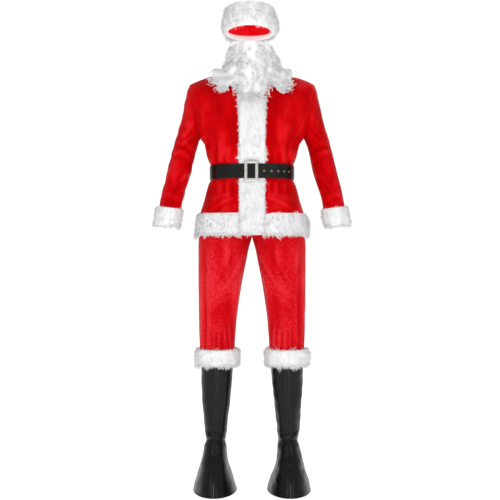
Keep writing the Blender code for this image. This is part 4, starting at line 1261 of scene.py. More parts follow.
def make_hem():
    section = closed_curve(HEM_SECTION, HEM_GRID[0])
    top = HEM_SECTION[-1][1]
    columns = []
    for out, up in section:
        level = JACKET[0][0] + top - HEM_DROP - (top - up) * HEM_HEIGHT
        line = hem_path(level)
        along = np.gradient(line, axis=0)
        normal = unit(np.stack([-along[:, 1], along[:, 0], np.zeros(len(line))], axis=1))
        normal = facing(normal, line * (1, 1, 0))
        number = np.arange(len(line))
        lumps = HEM_LUMPS * 1.6 * lump(0.27 * number, 20 * up) * min(out / THIN_RISE, 1.0)
        from_end = np.minimum(number, number[::-1])
        size = REST + (out - REST) * HEM_BODY * (1 - HEM_ENDS * np.exp(-((from_end / 2.2) ** 2)))
        point = line + normal * (size + lumps)[:, None]
        point[:, 2] = level
        columns.append(point)
    shape = bar_shape(np.stack(columns, axis=1))
    grown = outer_quads(shape, section, 0.0022)
    fur_piece("hem_fur", "jacket_hem_fur", shape, grown, HEM_PILE, DOWN, HEM_SEED)


UNDER_BELT = (0.031, 0.0024)  # this near the belt's middle the strap keeps the fur this thin
BARE_UNDER_BELT = 0.030
STRIP_WIDTH = 0.93  # width of its body, as a share of the strip's
STRIP_BACK = 0.97  # how much narrower its back is than its face
STRIP_END = 1.4985  # above this it lies on the fronts as it does here


def make_strip(fronts):
    tree = tree_of(fronts)
    heights = np.linspace(STRIP[0][0] + 0.010, STRIP[-1][0], STRIP_GRID[1])
    across = np.linspace(1.0, -1.0, STRIP_GRID[0])
    rows = []
    for z in heights:
        half, thick = (float(v) for v in linear(STRIP, z))
        half *= STRIP_WIDTH
        level = min(max(z, JACKET[0][0] + SEAM), STRIP_END)
        ring = []
        for s in across[::-1]:
            x = s * half * STRIP_BACK
            ring.append((x, -(front_depth(tree, x, level) + REST), z))
        for s in across:
            lumps = 0.0012 * float(lump(np.array(14 * z), np.array(4 * s)))
            rise = max((thick * STRIP_BODY + lumps) * (1 - 0.75 * abs(s) ** 4), 0.0006)
            if abs(z - BELT_HEIGHT) < UNDER_BELT[0]:
                rise = min(rise, UNDER_BELT[1])
            ring.append((s * half, -(front_depth(tree, s * half * STRIP_BACK, level) + REST + rise), z))
        rows.append(ring)
    points, faces = bar_shape(np.array(rows))
    column = faces[0] % (2 * len(across))
    free = (np.abs(points[faces[0]][:, :, 2] - BELT_HEIGHT) > BARE_UNDER_BELT).all(axis=1)
    grown = faces[0][(column >= len(across)).all(axis=1) & free]
    side = np.abs(points[grown][:, :, 0]).min(axis=1) > 0.80 * STRIP_HALF
    grown = np.concatenate([grown, grown[side], grown[side]])

    def comb(where):
        away = np.zeros_like(where)
        away[:, 0] = 1.10 * np.sign(where[:, 0]) * np.clip(np.abs(where[:, 0]) / STRIP_HALF, 0, 1) ** 4
        away[:, 2] = -1.0
        return unit(away)

    fur_piece("front_fur", "jacket_front_fur", (points, faces), grown, STRIP_PILE, comb, STRIP_SEED)


# trousers

TROUSER_FRONT = tenths(
    (975, 9550, 960, 8300, 40, 120, 50),
    (750, 9400, 780, 8600, 0, 80, -35),
    (1250, 9500, 1220, 8800, 0, 90, -35),
    (1650, 9000, 1600, 8450, -30, 70, 45),
    (1780, 9200, 1720, 8200, -30, 60, -35),
    (220, 9350, 1250, 7550, 60, 90, 60),
    (420, 9080, 1170, 7680, 40, 45, -55),
    (330, 8950, 950, 7750, 40, 70, 45),
    (380, 8750, 880, 7800, 30, 45, -45),
    (560, 9300, 1350, 7900, 40, 60, -40),
    (540, 8900, 720, 6600, 60, 130, 60),
    (400, 8200, 560, 6700, 20, 70, -40),
    (930, 7600, 950, 6300, 40, 150, -40),
    (1000, 7350, 1400, 7050, -60, 90, 40),
    (1200, 7200, 1550, 6700, 40, 100, -30),
    (1790, 8550, 1760, 5450, 0, 45, -60),
    (1890, 8300, 1870, 5500, 0, 60, 35),
    (1650, 7600, 1660, 5600, 20, 70, 40),
    (1510, 6180, 1500, 5420, 0, 42, -55),
    (1430, 6200, 1420, 5420, 0, 55, 45),
    (1350, 6100, 1350, 5420, 0, 38, -50),
    (1240, 6300, 1240, 5420, 0, 60, 50),
    (1140, 6120, 1120, 5420, 0, 40, -55),
    (1030, 6300, 1020, 5420, 0, 55, 50),
    (950, 6500, 920, 5420, 0, 40, -55),
    (850, 6400, 840, 5420, 0, 50, 45),
    (780, 6600, 750, 5420, 0, 42, -50),
)
TROUSER_BACK = tenths(
    (1000, 9550, 1050, 8000, 40, 130, 50),
    (700, 9300, 800, 8200, 0, 90, -45),
    (1400, 9400, 1350, 8100, 0, 100, -45),
    (300, 9300, 1200, 8600, -100, 90, 55),
    (350, 9050, 1250, 8350, -100, 70, -45),
    (700, 7600, 1500, 7450, 80, 90, 50),
    (720, 7350, 1480, 7200, 80, 70, -50),
    (750, 7100, 1500, 6950, 80, 90, 45),
    (1750, 8400, 1740, 5500, 0, 60, -45),
    (1500, 6300, 1500, 5420, 0, 45, -55),
    (1380, 6200, 1380, 5420, 0, 60, 50),
    (1270, 6400, 1260, 5420, 0, 45, -55),
    (1150, 6200, 1140, 5420, 0, 60, 50),
    (1040, 6300, 1030, 5420, 0, 45, -50),
    (920, 6200, 900, 5420, 0, 55, 45),
)


def leg_row(z, turn, out, back):
    """Half a ring of the left leg: turn 0 on the outer side, pi on the inner one."""
    outer, inner, front, rear = (float(v) for v in smooth(LEG, z))
    middle, half = (outer + inner) / 2, (outer - inner) / 2
    depth = rear if back else front
    x = middle + (half + out) * np.cos(turn)
    y = (depth + out) * np.clip(np.sin(turn), 0.0, 1.0) ** LEG_ROUND
    return np.stack([x, y if back else -y, np.full_like(turn, z)], axis=1)


def seat_row(z, share, out, back):
    """The left half of a ring above the crotch: share 0 on the outer side, 1 at the middle seam."""
    outer, middle, front, rear = (float(v) for v in smooth(SEAT, z))
    half = outer - middle
    depth = rear if back else front
    last = math.acos(max(-1.0, (2 * SEAM - middle) / half)) if half > middle else math.pi
    turn = share * last
    x = middle + (half + out) * np.cos(turn)
    x[-1] = 2 * SEAM
    y = (depth + out) * np.clip(np.sin(turn), 0.0, 1.0) ** LEG_ROUND
    return np.stack([x, y if back else -y, np.full_like(share, z)], axis=1)


LEG_GRID = (36, 92, 12)  # points across half a leg, rows below and above the crotch
WAISTBAND_ROUND = 120
WAISTBAND_GATHERS = (60, 0.0007)  # how many round the band, how far they stand out
SKIRT_COVER = (0.985, 0.03)  # creases end at this height, within this distance below it


def trouser_grid(out, back):
    """One quarter of the trousers, leg and seat, at a distance out from its outside."""
    shares = np.linspace(0.0, 1.0, LEG_GRID[0])
    low = np.linspace(LEG[0][0], LEG[-1][0], LEG_GRID[1])
    high = np.linspace(SEAT[1][0], SEAT[-1][0], LEG_GRID[2])
    rows = [leg_row(z, shares * math.pi, out, back) for z in low]
    rows += [seat_row(z, shares, out, back) for z in high]
    return np.array(rows) + np.array([0.0, SEAM if back else -SEAM, 0.0])


def make_waistband():
    grid = []
    outer, _, front, rear = SEAT[-1][1:]
    for turn in full_turn(WAISTBAND_ROUND):
        depth = rear if math.sin(turn) > 0 else front
        ring = []
        for out, z in WAISTBAND_SECTION:
            count, height = WAISTBAND_GATHERS
            gather = height * math.sin(count * turn) if 1.125 < z < 1.15 and out > 0 else 0.0
            ring.append(((outer + out + gather) * math.cos(turn), (depth + out + gather) * math.sin(turn), z))
        grid.append(ring)
    add_mesh("waistband", ring_shape(np.array(grid)), CRUSHED, ["trouser_waistband"])


def make_trousers():
    for half, back, table in (("front", False, TROUSER_FRONT), ("back", True, TROUSER_BACK)):
        out = trouser_grid(0.0, back)
        inside = trouser_grid(-LEG_CLOTH, back)
        normals = unit(out - inside)
        for name, side in SIDES:
            x, z = out[:, :, 0], out[:, :, 2]
            fade = edge_fade(out.shape, 3, 4) * np.clip((SKIRT_COVER[0] - z) / SKIRT_COVER[1], 0.0, 1.0)
            push = creases(table, x, z) + wander(out, 0.09, LEG_SEED + side + 5 * back)[..., 0] * 0.0018
            offset = normals * (push * fade)[..., None]
            shape = (side, 1, 1)
            wall = panel_wall((out + offset) * shape, (inside + offset) * shape)
            node = f"trouser_{half}_{name}"
            add_mesh(f"leg_{half}_{name}", wall, CRUSHED, [node], fold_shade=push * fade)
    make_waistband()


LEG_FUR_TOP = 0.5390
LEG_FUR_HEIGHT = 0.72  # height of its body, as a share of its section's
LEG_FUR_SEAM = 0.540  # the fur's back follows the leg up to here


def make_leg_fur():
    section = closed_curve(LEG_FUR_SECTION, LEG_FUR_GRID[0])
    turns = full_turn(LEG_FUR_GRID[1])
    for name, side in SIDES:
        columns = []
        for out, low in section:
            z = LEG_FUR_TOP - (LEG_FUR_SECTION[-1][1] - low) * LEG_FUR_HEIGHT
            level = min(max(z, LEG[0][0]), LEG_FUR_SEAM)
            lumps = LEG_FUR_LUMPS * lump(2 * turns, 30 * z) * min(out / THICK_RISE, 1.0)
            size = 0.0004 + (out - 0.0003) * LEG_FUR_BODY
            ring = []
            for k, turn in enumerate(turns):
                back = math.sin(turn) > 0
                angle = np.array([turn if back else 2 * math.pi - turn])
                ring.append(leg_row(level, angle, size + lumps[k], back)[0])
            ring = np.array(ring)
            ring[:, 2] = level if out <= 0.001 and z > 0.5 else z
            columns.append(ring)
        shape = ring_shape(np.stack(columns, axis=1) * (side, 1, 1))
        grown = outer_quads(shape, section, 0.004)
        node = "trouser_cuff_fur_" + name
        comb = (0.0, 0.0, -0.55)
        fur_piece("leg_fur_" + name, node, shape, grown, LEG_PILE, comb, LEG_FUR_SEED + side)


# boot covers

BOOT_CREASES = tenths(
    (1800, 1930, 980, 1860, 60, 70, -60),
    (1700, 1730, 1080, 1700, 40, 140, 55),
    (1780, 2150, 1100, 2050, -50, 80, 40),
    (1750, 2320, 1250, 2250, -40, 60, -30),
    (1330, 4900, 1350, 2500, 30, 160, 30),
    (1650, 4600, 1600, 3000, 40, 120, -25),
    (1100, 4400, 1180, 2900, -30, 100, -25),
    (1250, 1500, 1000, 600, 40, 120, 35),
    (1600, 1500, 1850, 600, -40, 120, 35),
    (1150, 1100, 1700, 1120, 60, 80, -30),
)
BOOT_SIDE_CREASES = tenths(
    (-600, 2000, 500, 1850, 60, 80, -55),
    (-600, 1750, 450, 1650, 40, 120, 45),
    (-500, 2250, 550, 2120, -50, 80, 40),
    (-200, 4800, -100, 2600, 40, 160, 30),
    (300, 4500, 250, 2500, 40, 120, -30),
    (-1000, 1000, 200, 900, 80, 100, -30),
)
BOOT_GRID = (32, 20, 30, 28)  # points across a half, rows of its foot, ankle and shaft
BOOT_ANKLE = (0.1095, 0.24)  # heights between which it has its deepest folds
BOOT_SIDE_SHARE = 0.35  # of the side creases' height
BOOT_SEAM_DEPTH = 0.0004
BOOT_COVERED = (0.50, 0.03)  # creases end at this height, within this distance below it


def boot_row(z, turn, out):
    """Half a ring of the left cover: turn 0 at the toe, pi at the heel."""
    middle, half, front, rear = (float(v) for v in smooth(BOOT, z))
    forward = np.cos(turn)
    depth = np.where(forward > 0, front, rear)
    x = middle + (half + out) * np.sin(turn)
    return np.stack([x, -(depth + out) * forward, np.full_like(turn, z)], axis=1)


def make_boots():
    across, foot, ankle, shaft = BOOT_GRID
    low, high = BOOT_ANKLE
    levels = np.concatenate([
        np.linspace(0.0, low, foot),
        np.linspace(low, high, ankle)[1:],
        np.linspace(high, BOOT[-1][0], shaft)[1:],
    ])
    turns = np.linspace(0.0, math.pi, across)
    seam = np.minimum(np.arange(across), across - 1 - np.arange(across))
    fold = -BOOT_SEAM_DEPTH * np.exp(-((seam / 0.8) ** 2))
    middle = smooth(BOOT, levels)[0]
    for part, away in (("outer", 1), ("inner", -1)):
        out = np.array([boot_row(z, away * turns, 0.0) for z in levels])
        inside = np.array([boot_row(z, away * turns, -LEATHERETTE) for z in levels])
        normals = unit(out - inside)
        for name, side in SIDES:
            front = np.clip(-normals[:, :, 1], 0.0, 1.0) ** 0.5
            flank = np.clip(np.abs(normals[:, :, 0]), 0.0, 1.0) ** 0.7
            x, y, z = out[:, :, 0], out[:, :, 1], out[:, :, 2]
            push = creases(BOOT_CREASES, x, z) * front
            push += creases(BOOT_SIDE_CREASES, y, z) * flank * BOOT_SIDE_SHARE
            push += wander(out, 0.06, BOOT_SEED + side)[..., 0] * 0.0012
            fade = edge_fade(out.shape, 4, 2) * np.clip((BOOT_COVERED[0] - z) / BOOT_COVERED[1], 0.0, 1.0)
            offset = normals * (push * fade + fold[None, :])[..., None]
            shape = (side, 1, 1)
            grids = [out + offset, inside + offset]
            for grid in grids:
                grid[:, :, 0] += away * SEAM
                grid[:, 0, 0] = middle + away * SEAM
                grid[:, -1, 0] = middle + away * SEAM
            wall = panel_wall(grids[0] * shape, grids[1] * shape)
            node = f"boot_{name}_{part}"
            add_mesh(f"boot_cover_{name}_{part}", wall, LEATHER, [node])


# hat

CROWN_FOLDS = 0.0022
CROWN_GRID = 60  # points round the crown and rows along it
CROWN_INNER_END = -3  # its inner skin ends this many rows before the outer one
FACING_DEPTH = (0.003, 0.0115)  # at the front, and how much more at the back
FACING_OFF = (0.0016, 0.0030)  # how far its two skins lie inside the crown
FACING_STEPS = 900  # fine rows along the crown, of which the first ones carry it
FACING_USED = 200
FACING_ROWS = 5
BAND_THINS = (0.50, 0.030, 0.055)  # how much thinner its top is, from which height, over which


def crown_rings(less, steps, sides):
    """The crown's outside, or a skin some distance less: ring by ring from its rim."""
    table = numbered(CROWN)
    turns = full_turn(sides)
    grid = []
    for place_on in np.linspace(0, len(CROWN) - 1, steps):
        y0, z0, y1, z1, half = (float(v) for v in smooth(table, place_on))
        top, under = np.array([y0, z0]), np.array([y1, z1])
        reach = (top - under) / 2
        size = np.linalg.norm(reach)
        fold = CROWN_FOLDS * np.sin(5 * turns + 0.6 * place_on) * min(max(place_on - 1.5, 0.0), 1.5)
        fold += 0.0010 * np.sin(11 * turns - 1.1 * place_on) * min(max(place_on - 1.0, 0.0), 1.0)
        fold = np.minimum(fold, 0.4 * half)
        flat = (top + under) / 2 + reach * (1 - (less - fold[:, None]) / size) * np.cos(turns)[:, None]
        grid.append(np.stack([HAT_X + (half - less + fold) * np.sin(turns), flat[:, 0], flat[:, 1]], axis=1))
    return np.array(grid)


def hat_facing(turns):
    """The band's own cloth turned in under the rim, deepest at the back."""
    depth = FACING_DEPTH[0] + FACING_DEPTH[1] * np.clip(-np.cos(turns), 0.0, 1.0)
    skins = []
    for less in FACING_OFF:
        rings = crown_rings(CLOTH + less, FACING_STEPS, len(turns))[:FACING_USED]
        rows = []
        for share in np.linspace(0.0, 1.0, FACING_ROWS):
            row = []
            for k, reach in enumerate(depth * share):
                up = np.abs(rings[:, k, 2] - rings[0, k, 2])
                row.append([np.interp(reach, up, rings[:, k, axis]) for axis in range(3)])
            rows.append(row)
        skins.append(rows)
    rim = crown_rings(0.0, FACING_STEPS, len(turns))[0]
    under = [rim + (0.0, 0.0, -0.0005), np.array(skins[1][0]) + (0.0, 0.0, -0.0015)]
    return np.array([under[0], *skins[0][1:], *skins[1][:0:-1], under[1]]).transpose(1, 0, 2)


def make_crown():
    outer = crown_rings(0.0, CROWN_GRID, CROWN_GRID)
    inner = crown_rings(CLOTH, CROWN_GRID, CROWN_GRID)[:CROWN_INNER_END]
    wall = tube_wall(outer, inner, closed_end=True)
    crown = add_mesh("velvet_crown", wall, VELVET, ["hat_crown"])
    # the inner skin takes the lining, painted a far lighter red to stand in for light inside the crown
    crown.data.materials.append(PAINTED_LIGHT_LINING)
    lined = np.zeros(len(crown.data.polygons), np.int32)
    first = (len(outer) - 1) * CROWN_GRID
    lined[first:first + (len(inner) - 1) * CROWN_GRID] = 1
    lined[-1] = 1
    crown.data.polygons.foreach_set("material_index", lined)


def make_band():
    section = closed_curve(HAT_SECTION, BAND_GRID[0])
    turns = full_turn(BAND_GRID[1])
    thinner, start, span = BAND_THINS
    columns = []
    for out, up in section:
        lumps = HAT_LUMPS * lump(2 * turns, 25 * up) * min(out / THICK_RISE, 1.0)
        size = REST + (out - REST) * (BAND_BODY - thinner * min(max((up - start) / span, 0.0), 1.0))
        columns.append(np.stack([
            HAT_X + (HAT_HALF[0] + size + lumps) * np.sin(turns),
            -(HAT_HALF[1] + size + lumps) * np.cos(turns),
            HAT_RIM + HAT_TILT * np.cos(turns) + up,
        ], axis=1))
    shape = ring_shape(np.stack(columns, axis=1))
    grown = outer_quads(shape, section, 0.0035)
    plain = [ring_shape(hat_facing(turns))]
    comb = (0.15, 0.0, -0.55)
    fur_piece("hat_fur", "hat_fur_band", shape, grown, BAND_PILE, comb, BAND_SEED, plain)


def make_pompom():
    x, y, z, radius = POMPOM
    around, steps = POMPOM_GRID
    turns = full_turn(around)
    grid = []
    for i in range(1, steps):
        lean = math.pi * i / steps
        size = radius * 0.72 * (1 + 0.05 * lump(turns * 2, float(i) / 3))
        grid.append(np.stack([
            HAT_X + x + size * math.sin(lean) * np.cos(turns),
            y + size * math.sin(lean) * np.sin(turns),
            z + size * math.cos(lean),
        ], axis=1))
    shape = bar_shape(np.array(grid))
    fur_piece("pompom_fur", "hat_pompom", shape, shape[1][0], POMPOM_PILE, DOWN, POMPOM_SEED)


# beard

BEARD_GRID = (61, 44)  # points across its backing, rows
BEARD_REACH = 0.96  # its backing's half width, as a share of the beard's
CHIN = (0.13, 1.600, 0.028)  # how much narrower it is at this height, fading over this distance
SHOULDER_TOP = 1.555  # below this it lies over the shoulders, at least this wide
SHOULDER_HALF = 0.150
LOCK_LENGTH = (0.026, 0.046)
LOCK_RADIUS = (0.0022, 0.0044)
WING_RADIUS = (0.002, 0.006)  # added where it hangs over the shoulders
LOCK_TURNS = (1.2, 2.0)
LOCK_WIDTH = (0.0012, 0.0030)
HAIR_WIDTH = (0.0011, 0.0018)
HAIR_SOFTNESS = 0.74
BEARD_GLOW = (0.0, -1.1, 0.35)  # light spreads through the fibres towards the front


def beard_edge(x):
    """Height of the beard's lower edge: a tongue in the middle, a notch, then a lock over each shoulder."""
    return np.interp(np.abs(x), *zip(*BEARD_EDGE))


def beard_base(tree):
    """The backing that the locks grow from: its front and rear grids."""
    low, high = BEARD[0][0], BEARD[-1][0]
    front, rear = [], []
    narrower, chin, span = CHIN
    for z in np.linspace(low, high, BEARD_GRID[1]):
        half, depth, thick = (float(v) for v in smooth(BEARD, z))
        if z > SHOULDER_TOP:
            half = half * (BEARD_REACH - narrower * math.exp(-(((z - chin) / span) ** 2)))
        else:
            half = max(half * BEARD_REACH, SHOULDER_HALF)
        ahead, behind = [], []
        for s in np.linspace(-1.0, 1.0, BEARD_GRID[0]):
            x = s * half
            edge = float(beard_edge(x))
            level = edge + (z - low) / (high - low) * (high - 0.002 - edge)
            bend = max(math.cos(s * math.pi / 2), 0.0)
            wave = 0.0020 * math.sin(60 * x + 40 * z) + 0.0015 * math.sin(95 * z - 30 * x)
            face = -BEARD_SIDE_EDGE + (depth - thick + BEARD_SIDE_EDGE) * bend**0.7
            rises = (-0.020, 0.0, 0.014) if abs(x) > BEARD_WING else (-0.008, 0.0)
            near = [(x + dx, level + rise) for dx in (-0.008, 0.0, 0.008) for rise in rises]
            body = max(front_depth(tree, *spot) for spot in near) + 2 * REST
            base = max(face, body)
            full = thick * (0.10 + 0.26 * bend**0.5)
            behind.append((x * 0.985, -base, level))
            ahead.append((x, -(base + full + wave), level))
        front.append(ahead)
        rear.append(behind)
    return np.array(front), np.array(rear)


def make_beard(under):
    """Locks of curled fibres on a backing that hangs over what lies under it."""
    tree = tree_of(under)
    front, rear = beard_base(tree)
    points, faces = panel_wall(front, rear)
    faces = turned_out(points, faces)
    rows, columns, _ = front.shape
    grown = faces[0][(faces[0] < rows * columns).all(axis=1)]
    rng = np.random.default_rng(BEARD_SEED)
    roots, normal = roots_on(points, grown, LOCKS - LOCKS // 4, rng)
    hanging = grown[(grown // columns).max(axis=1) < 4]
    more_roots, more_normal = roots_on(points, hanging, LOCKS // 4, rng)
    roots, normal = np.concatenate([roots, more_roots]), np.concatenate([normal, more_normal])
    low = np.clip((1.655 - roots[:, 2]) / 0.10, 0.0, 1.0)
    edge = np.clip(1 - (roots[:, 2] - beard_edge(roots[:, 0])) / 0.022, 0.0, 1.0)
    wing = edge * (np.abs(roots[:, 0]) > BEARD_WING)
    length = rng.uniform(*LOCK_LENGTH, LOCKS) * (1 - 0.45 * wing)
    radius = rng.uniform(*LOCK_RADIUS, LOCKS) * (1 + 0.3 * low)
    radius = radius + wing * rng.uniform(*WING_RADIUS, LOCKS)
    turns = rng.uniform(*LOCK_TURNS, LOCKS) * 2 * math.pi
    phase = rng.uniform(0, 2 * math.pi, LOCKS)
    hand = rng.choice([-1.0, 1.0], LOCKS)
    way = np.zeros((LOCKS, 3))
    way[:, 2] = -1.0
    way[:, 0] = 1.6 * roots[:, 0] / 0.16 * np.clip((1.610 - roots[:, 2]) / 0.08, 0.0, 1.0)
    way = unit(way + 0.40 * wander(roots, 0.05, 7) + rng.normal(size=(LOCKS, 3)) * 0.12)
    side = unit(np.cross(way, normal))
    lift = np.cross(side, way)
    wide = rng.uniform(*LOCK_WIDTH, (LOCKS, LOCK_HAIRS, 1))
    around = rng.uniform(0, 2 * math.pi, (LOCKS, LOCK_HAIRS, 1))
    apart = wide * (np.cos(around) * side[:, None] + 0.8 * np.sin(around) * lift[:, None])
    slip = rng.normal(size=(LOCKS, LOCK_HAIRS)) * 0.25
    reach = rng.uniform(0.80, 1.12, (LOCKS, LOCK_HAIRS))
    paths = []
    for s in np.linspace(0.0, 1.0, LOCK_STEPS):
        spin = phase[:, None] + slip + (hand * turns)[:, None] * s * reach
        grow = (radius * min(s * 3.0, 1.0))[:, None]
        drift = way[:, None] * ((length * s * 0.8)[:, None] * reach)[..., None]
        drift = drift + (normal * (0.004 + 0.008 * s))[:, None]
        flat = side[:, None] * (np.cos(spin) * grow)[..., None]
        deep = lift[:, None] * (np.sin(spin) * grow * (1 - 0.55 * wing[:, None]) + grow * 0.7)[..., None]
        curl = way[:, None] * (np.sin(spin) * grow * wing[:, None])[..., None]
        paths.append(roots[:, None] + drift + flat + deep + curl + apart * (1 - 0.65 * s))
    paths = np.stack(paths, axis=2).reshape(LOCKS * LOCK_HAIRS, LOCK_STEPS, 3)
    for spot in paths.reshape(-1, 3):
        if spot[2] < 1.60:
            spot[1] = min(spot[1], -(front_depth(tree, spot[0], spot[2]) + 0.0015))
    strands = strand_mesh(paths, rng.uniform(*HAIR_WIDTH, len(paths)))
    shape = joined([(points, faces), strands])
    item = add_mesh("curly_beard", shape, FIBRE, ["beard"], turn=False)
    lit = unit(normal + BEARD_GLOW)
    soften(item, len(points), np.repeat(lit, LOCK_HAIRS, axis=0), HAIR_SOFTNESS)


# belt

BELT_GRID = (44, 36, 40, 46, 23)  # points along the right, back, left, overlapping end; across its face
STITCH = (0.00035, 0.0034, 0.0007)  # depth of the groove, distance from the edge, half width
EDGE_ROUND = (0.0009, 0.0012)  # how far its face falls away at the edges, over which distance
STRAP_TIP = 12  # rows over which its end is rounded
STRAP_TIP_WIDTH = (0.55, 0.45)  # shares of its width: at the very end, and what the rounding adds
EYELET_ROUND = 28
METAL_EDGE = 0.0006


def belt_line(across, back, out):
    """Half of the strap's line from above, at a distance outside its inner surface."""
    turn = across * math.pi / 2
    depth = BELT_BACK if back else BELT_FRONT
    x = (BELT_A + out) * np.clip(np.sin(turn), 0.0, 1.0) ** SQUARE
    y = (depth + out) * np.clip(np.cos(turn), 0.0, 1.0) ** SQUARE
    return np.stack([x, y if back else -y], axis=1)


def plan_angle(x):
    """Where along the half line a distance from the middle lies."""
    return math.asin((x / BELT_A) ** (1 / SQUARE)) / (math.pi / 2)


def front_outline(x):
    """The strap's inner surface at the front: its depth and outward direction."""
    across = np.array([plan_angle(abs(x)) + d for d in (-0.005, 0.0, 0.005)])
    line = belt_line(np.clip(across, 0.0, 1.0), False, 0.0)
    along = line[2] - line[0]
    normal = unit(np.array([-along[1], along[0], 0.0]))
    if normal[1] > 0:
        normal = -normal
    normal[0] = abs(normal[0]) * (1.0 if x > 0 else -1.0)
    return -line[1, 1], normal


def rounded_face(half, thick, count):
    """The outer face of a strap's section: slightly padded, with rounded edges and stitch grooves."""
    rows = []
    for s in np.linspace(-1.0, 1.0, count):
        up = half * s
        edge = half - abs(up)
        padded = thick - EDGE_ROUND[0] * math.exp(-edge / EDGE_ROUND[1]) + 0.0002 * (1 - s * s)
        groove = STITCH[0] * math.exp(-(((edge - STITCH[1]) / STITCH[2]) ** 2))
        rows.append((padded - groove, up))
    return rows


def make_strap():
    right_count, rear_count, left_count, end_count, face_count = BELT_GRID
    right = np.linspace(plan_angle(abs(BUCKLE_X - STRAP_START)), 1.0, right_count)
    left = np.linspace(1.0, plan_angle(STRAP_FREE), left_count)[1:]
    rear = np.linspace(1.0, 0.0, rear_count)[1:]
    path = []
    for out in (0.0, BELT_THICK):
        path.append(np.concatenate([
            belt_line(right, False, out) * (-1, 1),
            belt_line(rear, True, out) * (-1, 1),
            belt_line(rear[::-1][1:], True, out),
            belt_line(left, False, out),
        ]))
    lift = sorted(STRAP_LIFT)
    tail = []
    for offset in np.linspace(STRAP_LIFT[0][0], STRAP_LIFT[-1][0], end_count):
        depth = front_outline(BUCKLE_X + offset)[0]
        rise = float(smooth(lift, offset)[0])
        tail.append((BUCKLE_X + offset, -(depth + rise)))
    tail = np.array(tail)
    inner = np.concatenate([path[0], tail])
    outside = np.concatenate([path[1], tail - (0.0, BELT_THICK)])
    across = unit(outside - inner)
    section = rounded_face(BELT_HALF, BELT_THICK, face_count)
    grid = []
    for k, (spot, way) in enumerate(zip(inner, across)):
        end = (len(inner) - 1 - k) / STRAP_TIP
        rounding = math.sqrt(max(1 - (1 - end) ** 2, 0.0))
        taper = 1.0 if end > 1 else STRAP_TIP_WIDTH[0] + STRAP_TIP_WIDTH[1] * rounding
        half = BELT_HALF * taper * 0.985
        ring = [(*spot, BELT_HEIGHT - half), (*spot, BELT_HEIGHT + half)]
        for out, up in reversed(section):
            ring.append((*(spot + way * out), BELT_HEIGHT + up * taper))
        grid.append(ring)
    add_mesh("belt_band", bar_shape(np.array(grid)), STRAP, ["belt_strap"])


def make_belt():
    make_strap()
    for number, x in enumerate(EYELETS_X):
        depth, normal = front_outline(x)
        middle = np.array([x, -depth, BELT_HEIGHT])
        up = np.array([0.0, 0.0, 1.0])
        other = np.cross(normal, up)
        grid = []
        for turn in full_turn(EYELET_ROUND):
            spoke = up * math.cos(turn) + other * math.sin(turn)
            grid.append([middle + spoke * r + normal * h for r, h in EYELET_SECTION])
        node = f"belt_eyelet_{number + 1}"
        add_mesh(f"eyelet_{number + 1}", ring_shape(np.array(grid)), BRASS, [node])
    for node, look in (("belt_buckle", SILVER), ("belt_prong", BRASS)):
        item = frame["nodes"][node]
        item.data.materials.clear()
        item.data.materials.append(look)
        edge = item.modifiers.new("rounded", "BEVEL")
        edge.width = METAL_EDGE
        edge.segments = 2
        edge.limit_method = "ANGLE"


# studio, in the frame's own coordinates

CAMERA_PLACE = (-0.0077, -4.0, -0.652)
CAMERA_LENS = 74.8
FLOOR_SIDES = 48
FLOOR_RADIUS = 40
# name, place, what it shines at, width and height, power
LAMPS = (
    ("key", (-1.9, -3.6, 1.4), (0.0, 0.0, -0.5), (2.2, 2.2), 23.0),
    ("fill", (2.1, -3.4, 0.9), (0.0, 0.0, -0.5), (2.4, 2.4), 17.0),
    ("low", (0.0, -2.6, -1.2), (0.0, 0.0, 0.1), (0.4, 0.7), 9.0),
    ("inside_hat", (HAT_X, -0.03, 0.09), (HAT_X, 0.05, 0.30), (0.08, 0.08), 0.10),
    ("rear", (1.4, 3.4, 1.4), (0.0, 0.0, -0.5), (2.4, 2.4), 14.0),
)


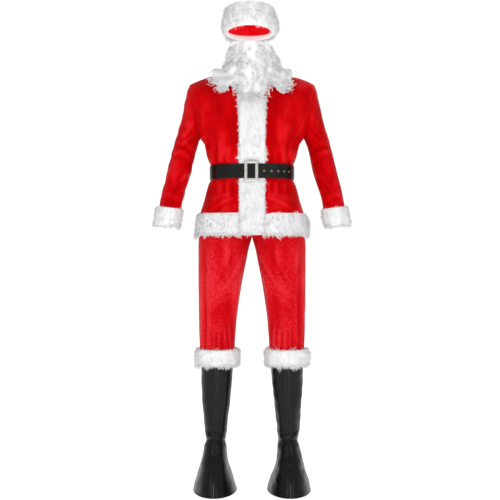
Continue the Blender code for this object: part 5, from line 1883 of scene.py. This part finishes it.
def area_light(name, where, towards, size, power):
    data = bpy.data.lights.new(name, "AREA")
    data.shape = "RECTANGLE"
    data.size, data.size_y = size
    data.energy = power
    made = bpy.data.objects.new(name, data)
    made.location = where
    made.rotation_euler = (Vector(towards) - Vector(where)).to_track_quat("-Z", "Y").to_euler()
    bpy.context.scene.collection.objects.link(made)


def make_studio():
    scene = bpy.context.scene
    scene.view_settings.view_transform = "Standard"
    data = bpy.data.cameras.new("camera")
    data.sensor_width = 36.0
    data.lens = CAMERA_LENS
    camera = bpy.data.objects.new("camera", data)
    camera.location = CAMERA_PLACE
    camera.rotation_euler = (math.pi / 2, 0.0, 0.0)
    scene.collection.objects.link(camera)
    scene.camera = camera

    world = bpy.data.worlds.new("studio")
    world.use_nodes = True
    nodes, links = world.node_tree.nodes, world.node_tree.links
    lit = nodes["Background"]
    adjust(lit, {"Color": FULL_WHITE, "Strength": 0.60})
    seen = nodes.new("ShaderNodeBackground")
    adjust(seen, {"Color": FULL_WHITE, "Strength": 1.05})
    path = nodes.new("ShaderNodeLightPath")
    mixed = nodes.new("ShaderNodeMixShader")
    links.new(path.outputs["Is Camera Ray"], mixed.inputs[0])
    links.new(lit.outputs[0], mixed.inputs[1])
    links.new(seen.outputs[0], mixed.inputs[2])
    links.new(mixed.outputs[0], nodes["World Output"].inputs["Surface"])
    scene.world = world

    made, _, _, shader = new_material("studio_floor")
    adjust(shader, {
        "Base Color": (0.92, 0.92, 0.92, 1.0),
        "Roughness": 0.9,
        "Emission Color": FULL_WHITE,
        "Emission Strength": 0.60,
    })
    rim = full_turn(FLOOR_SIDES)
    disc = np.stack([FLOOR_RADIUS * np.cos(rim), FLOOR_RADIUS * np.sin(rim), np.zeros(FLOOR_SIDES)], axis=1)
    floor = add_mesh("floor", (disc, [np.arange(FLOOR_SIDES)[None, :]]), made, turn=False)
    floor.parent = None
    del floor["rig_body"]

    for lamp in LAMPS:
        area_light(*lamp)


def main():
    fronts = make_jacket()
    make_sleeves()
    make_strip(fronts)
    make_hem()
    make_cuffs()
    make_trousers()
    make_leg_fur()
    make_boots()
    make_crown()
    make_band()
    make_pompom()
    make_beard(fronts + [bpy.data.objects["front_fur"]])
    make_belt()
    make_studio()


main()
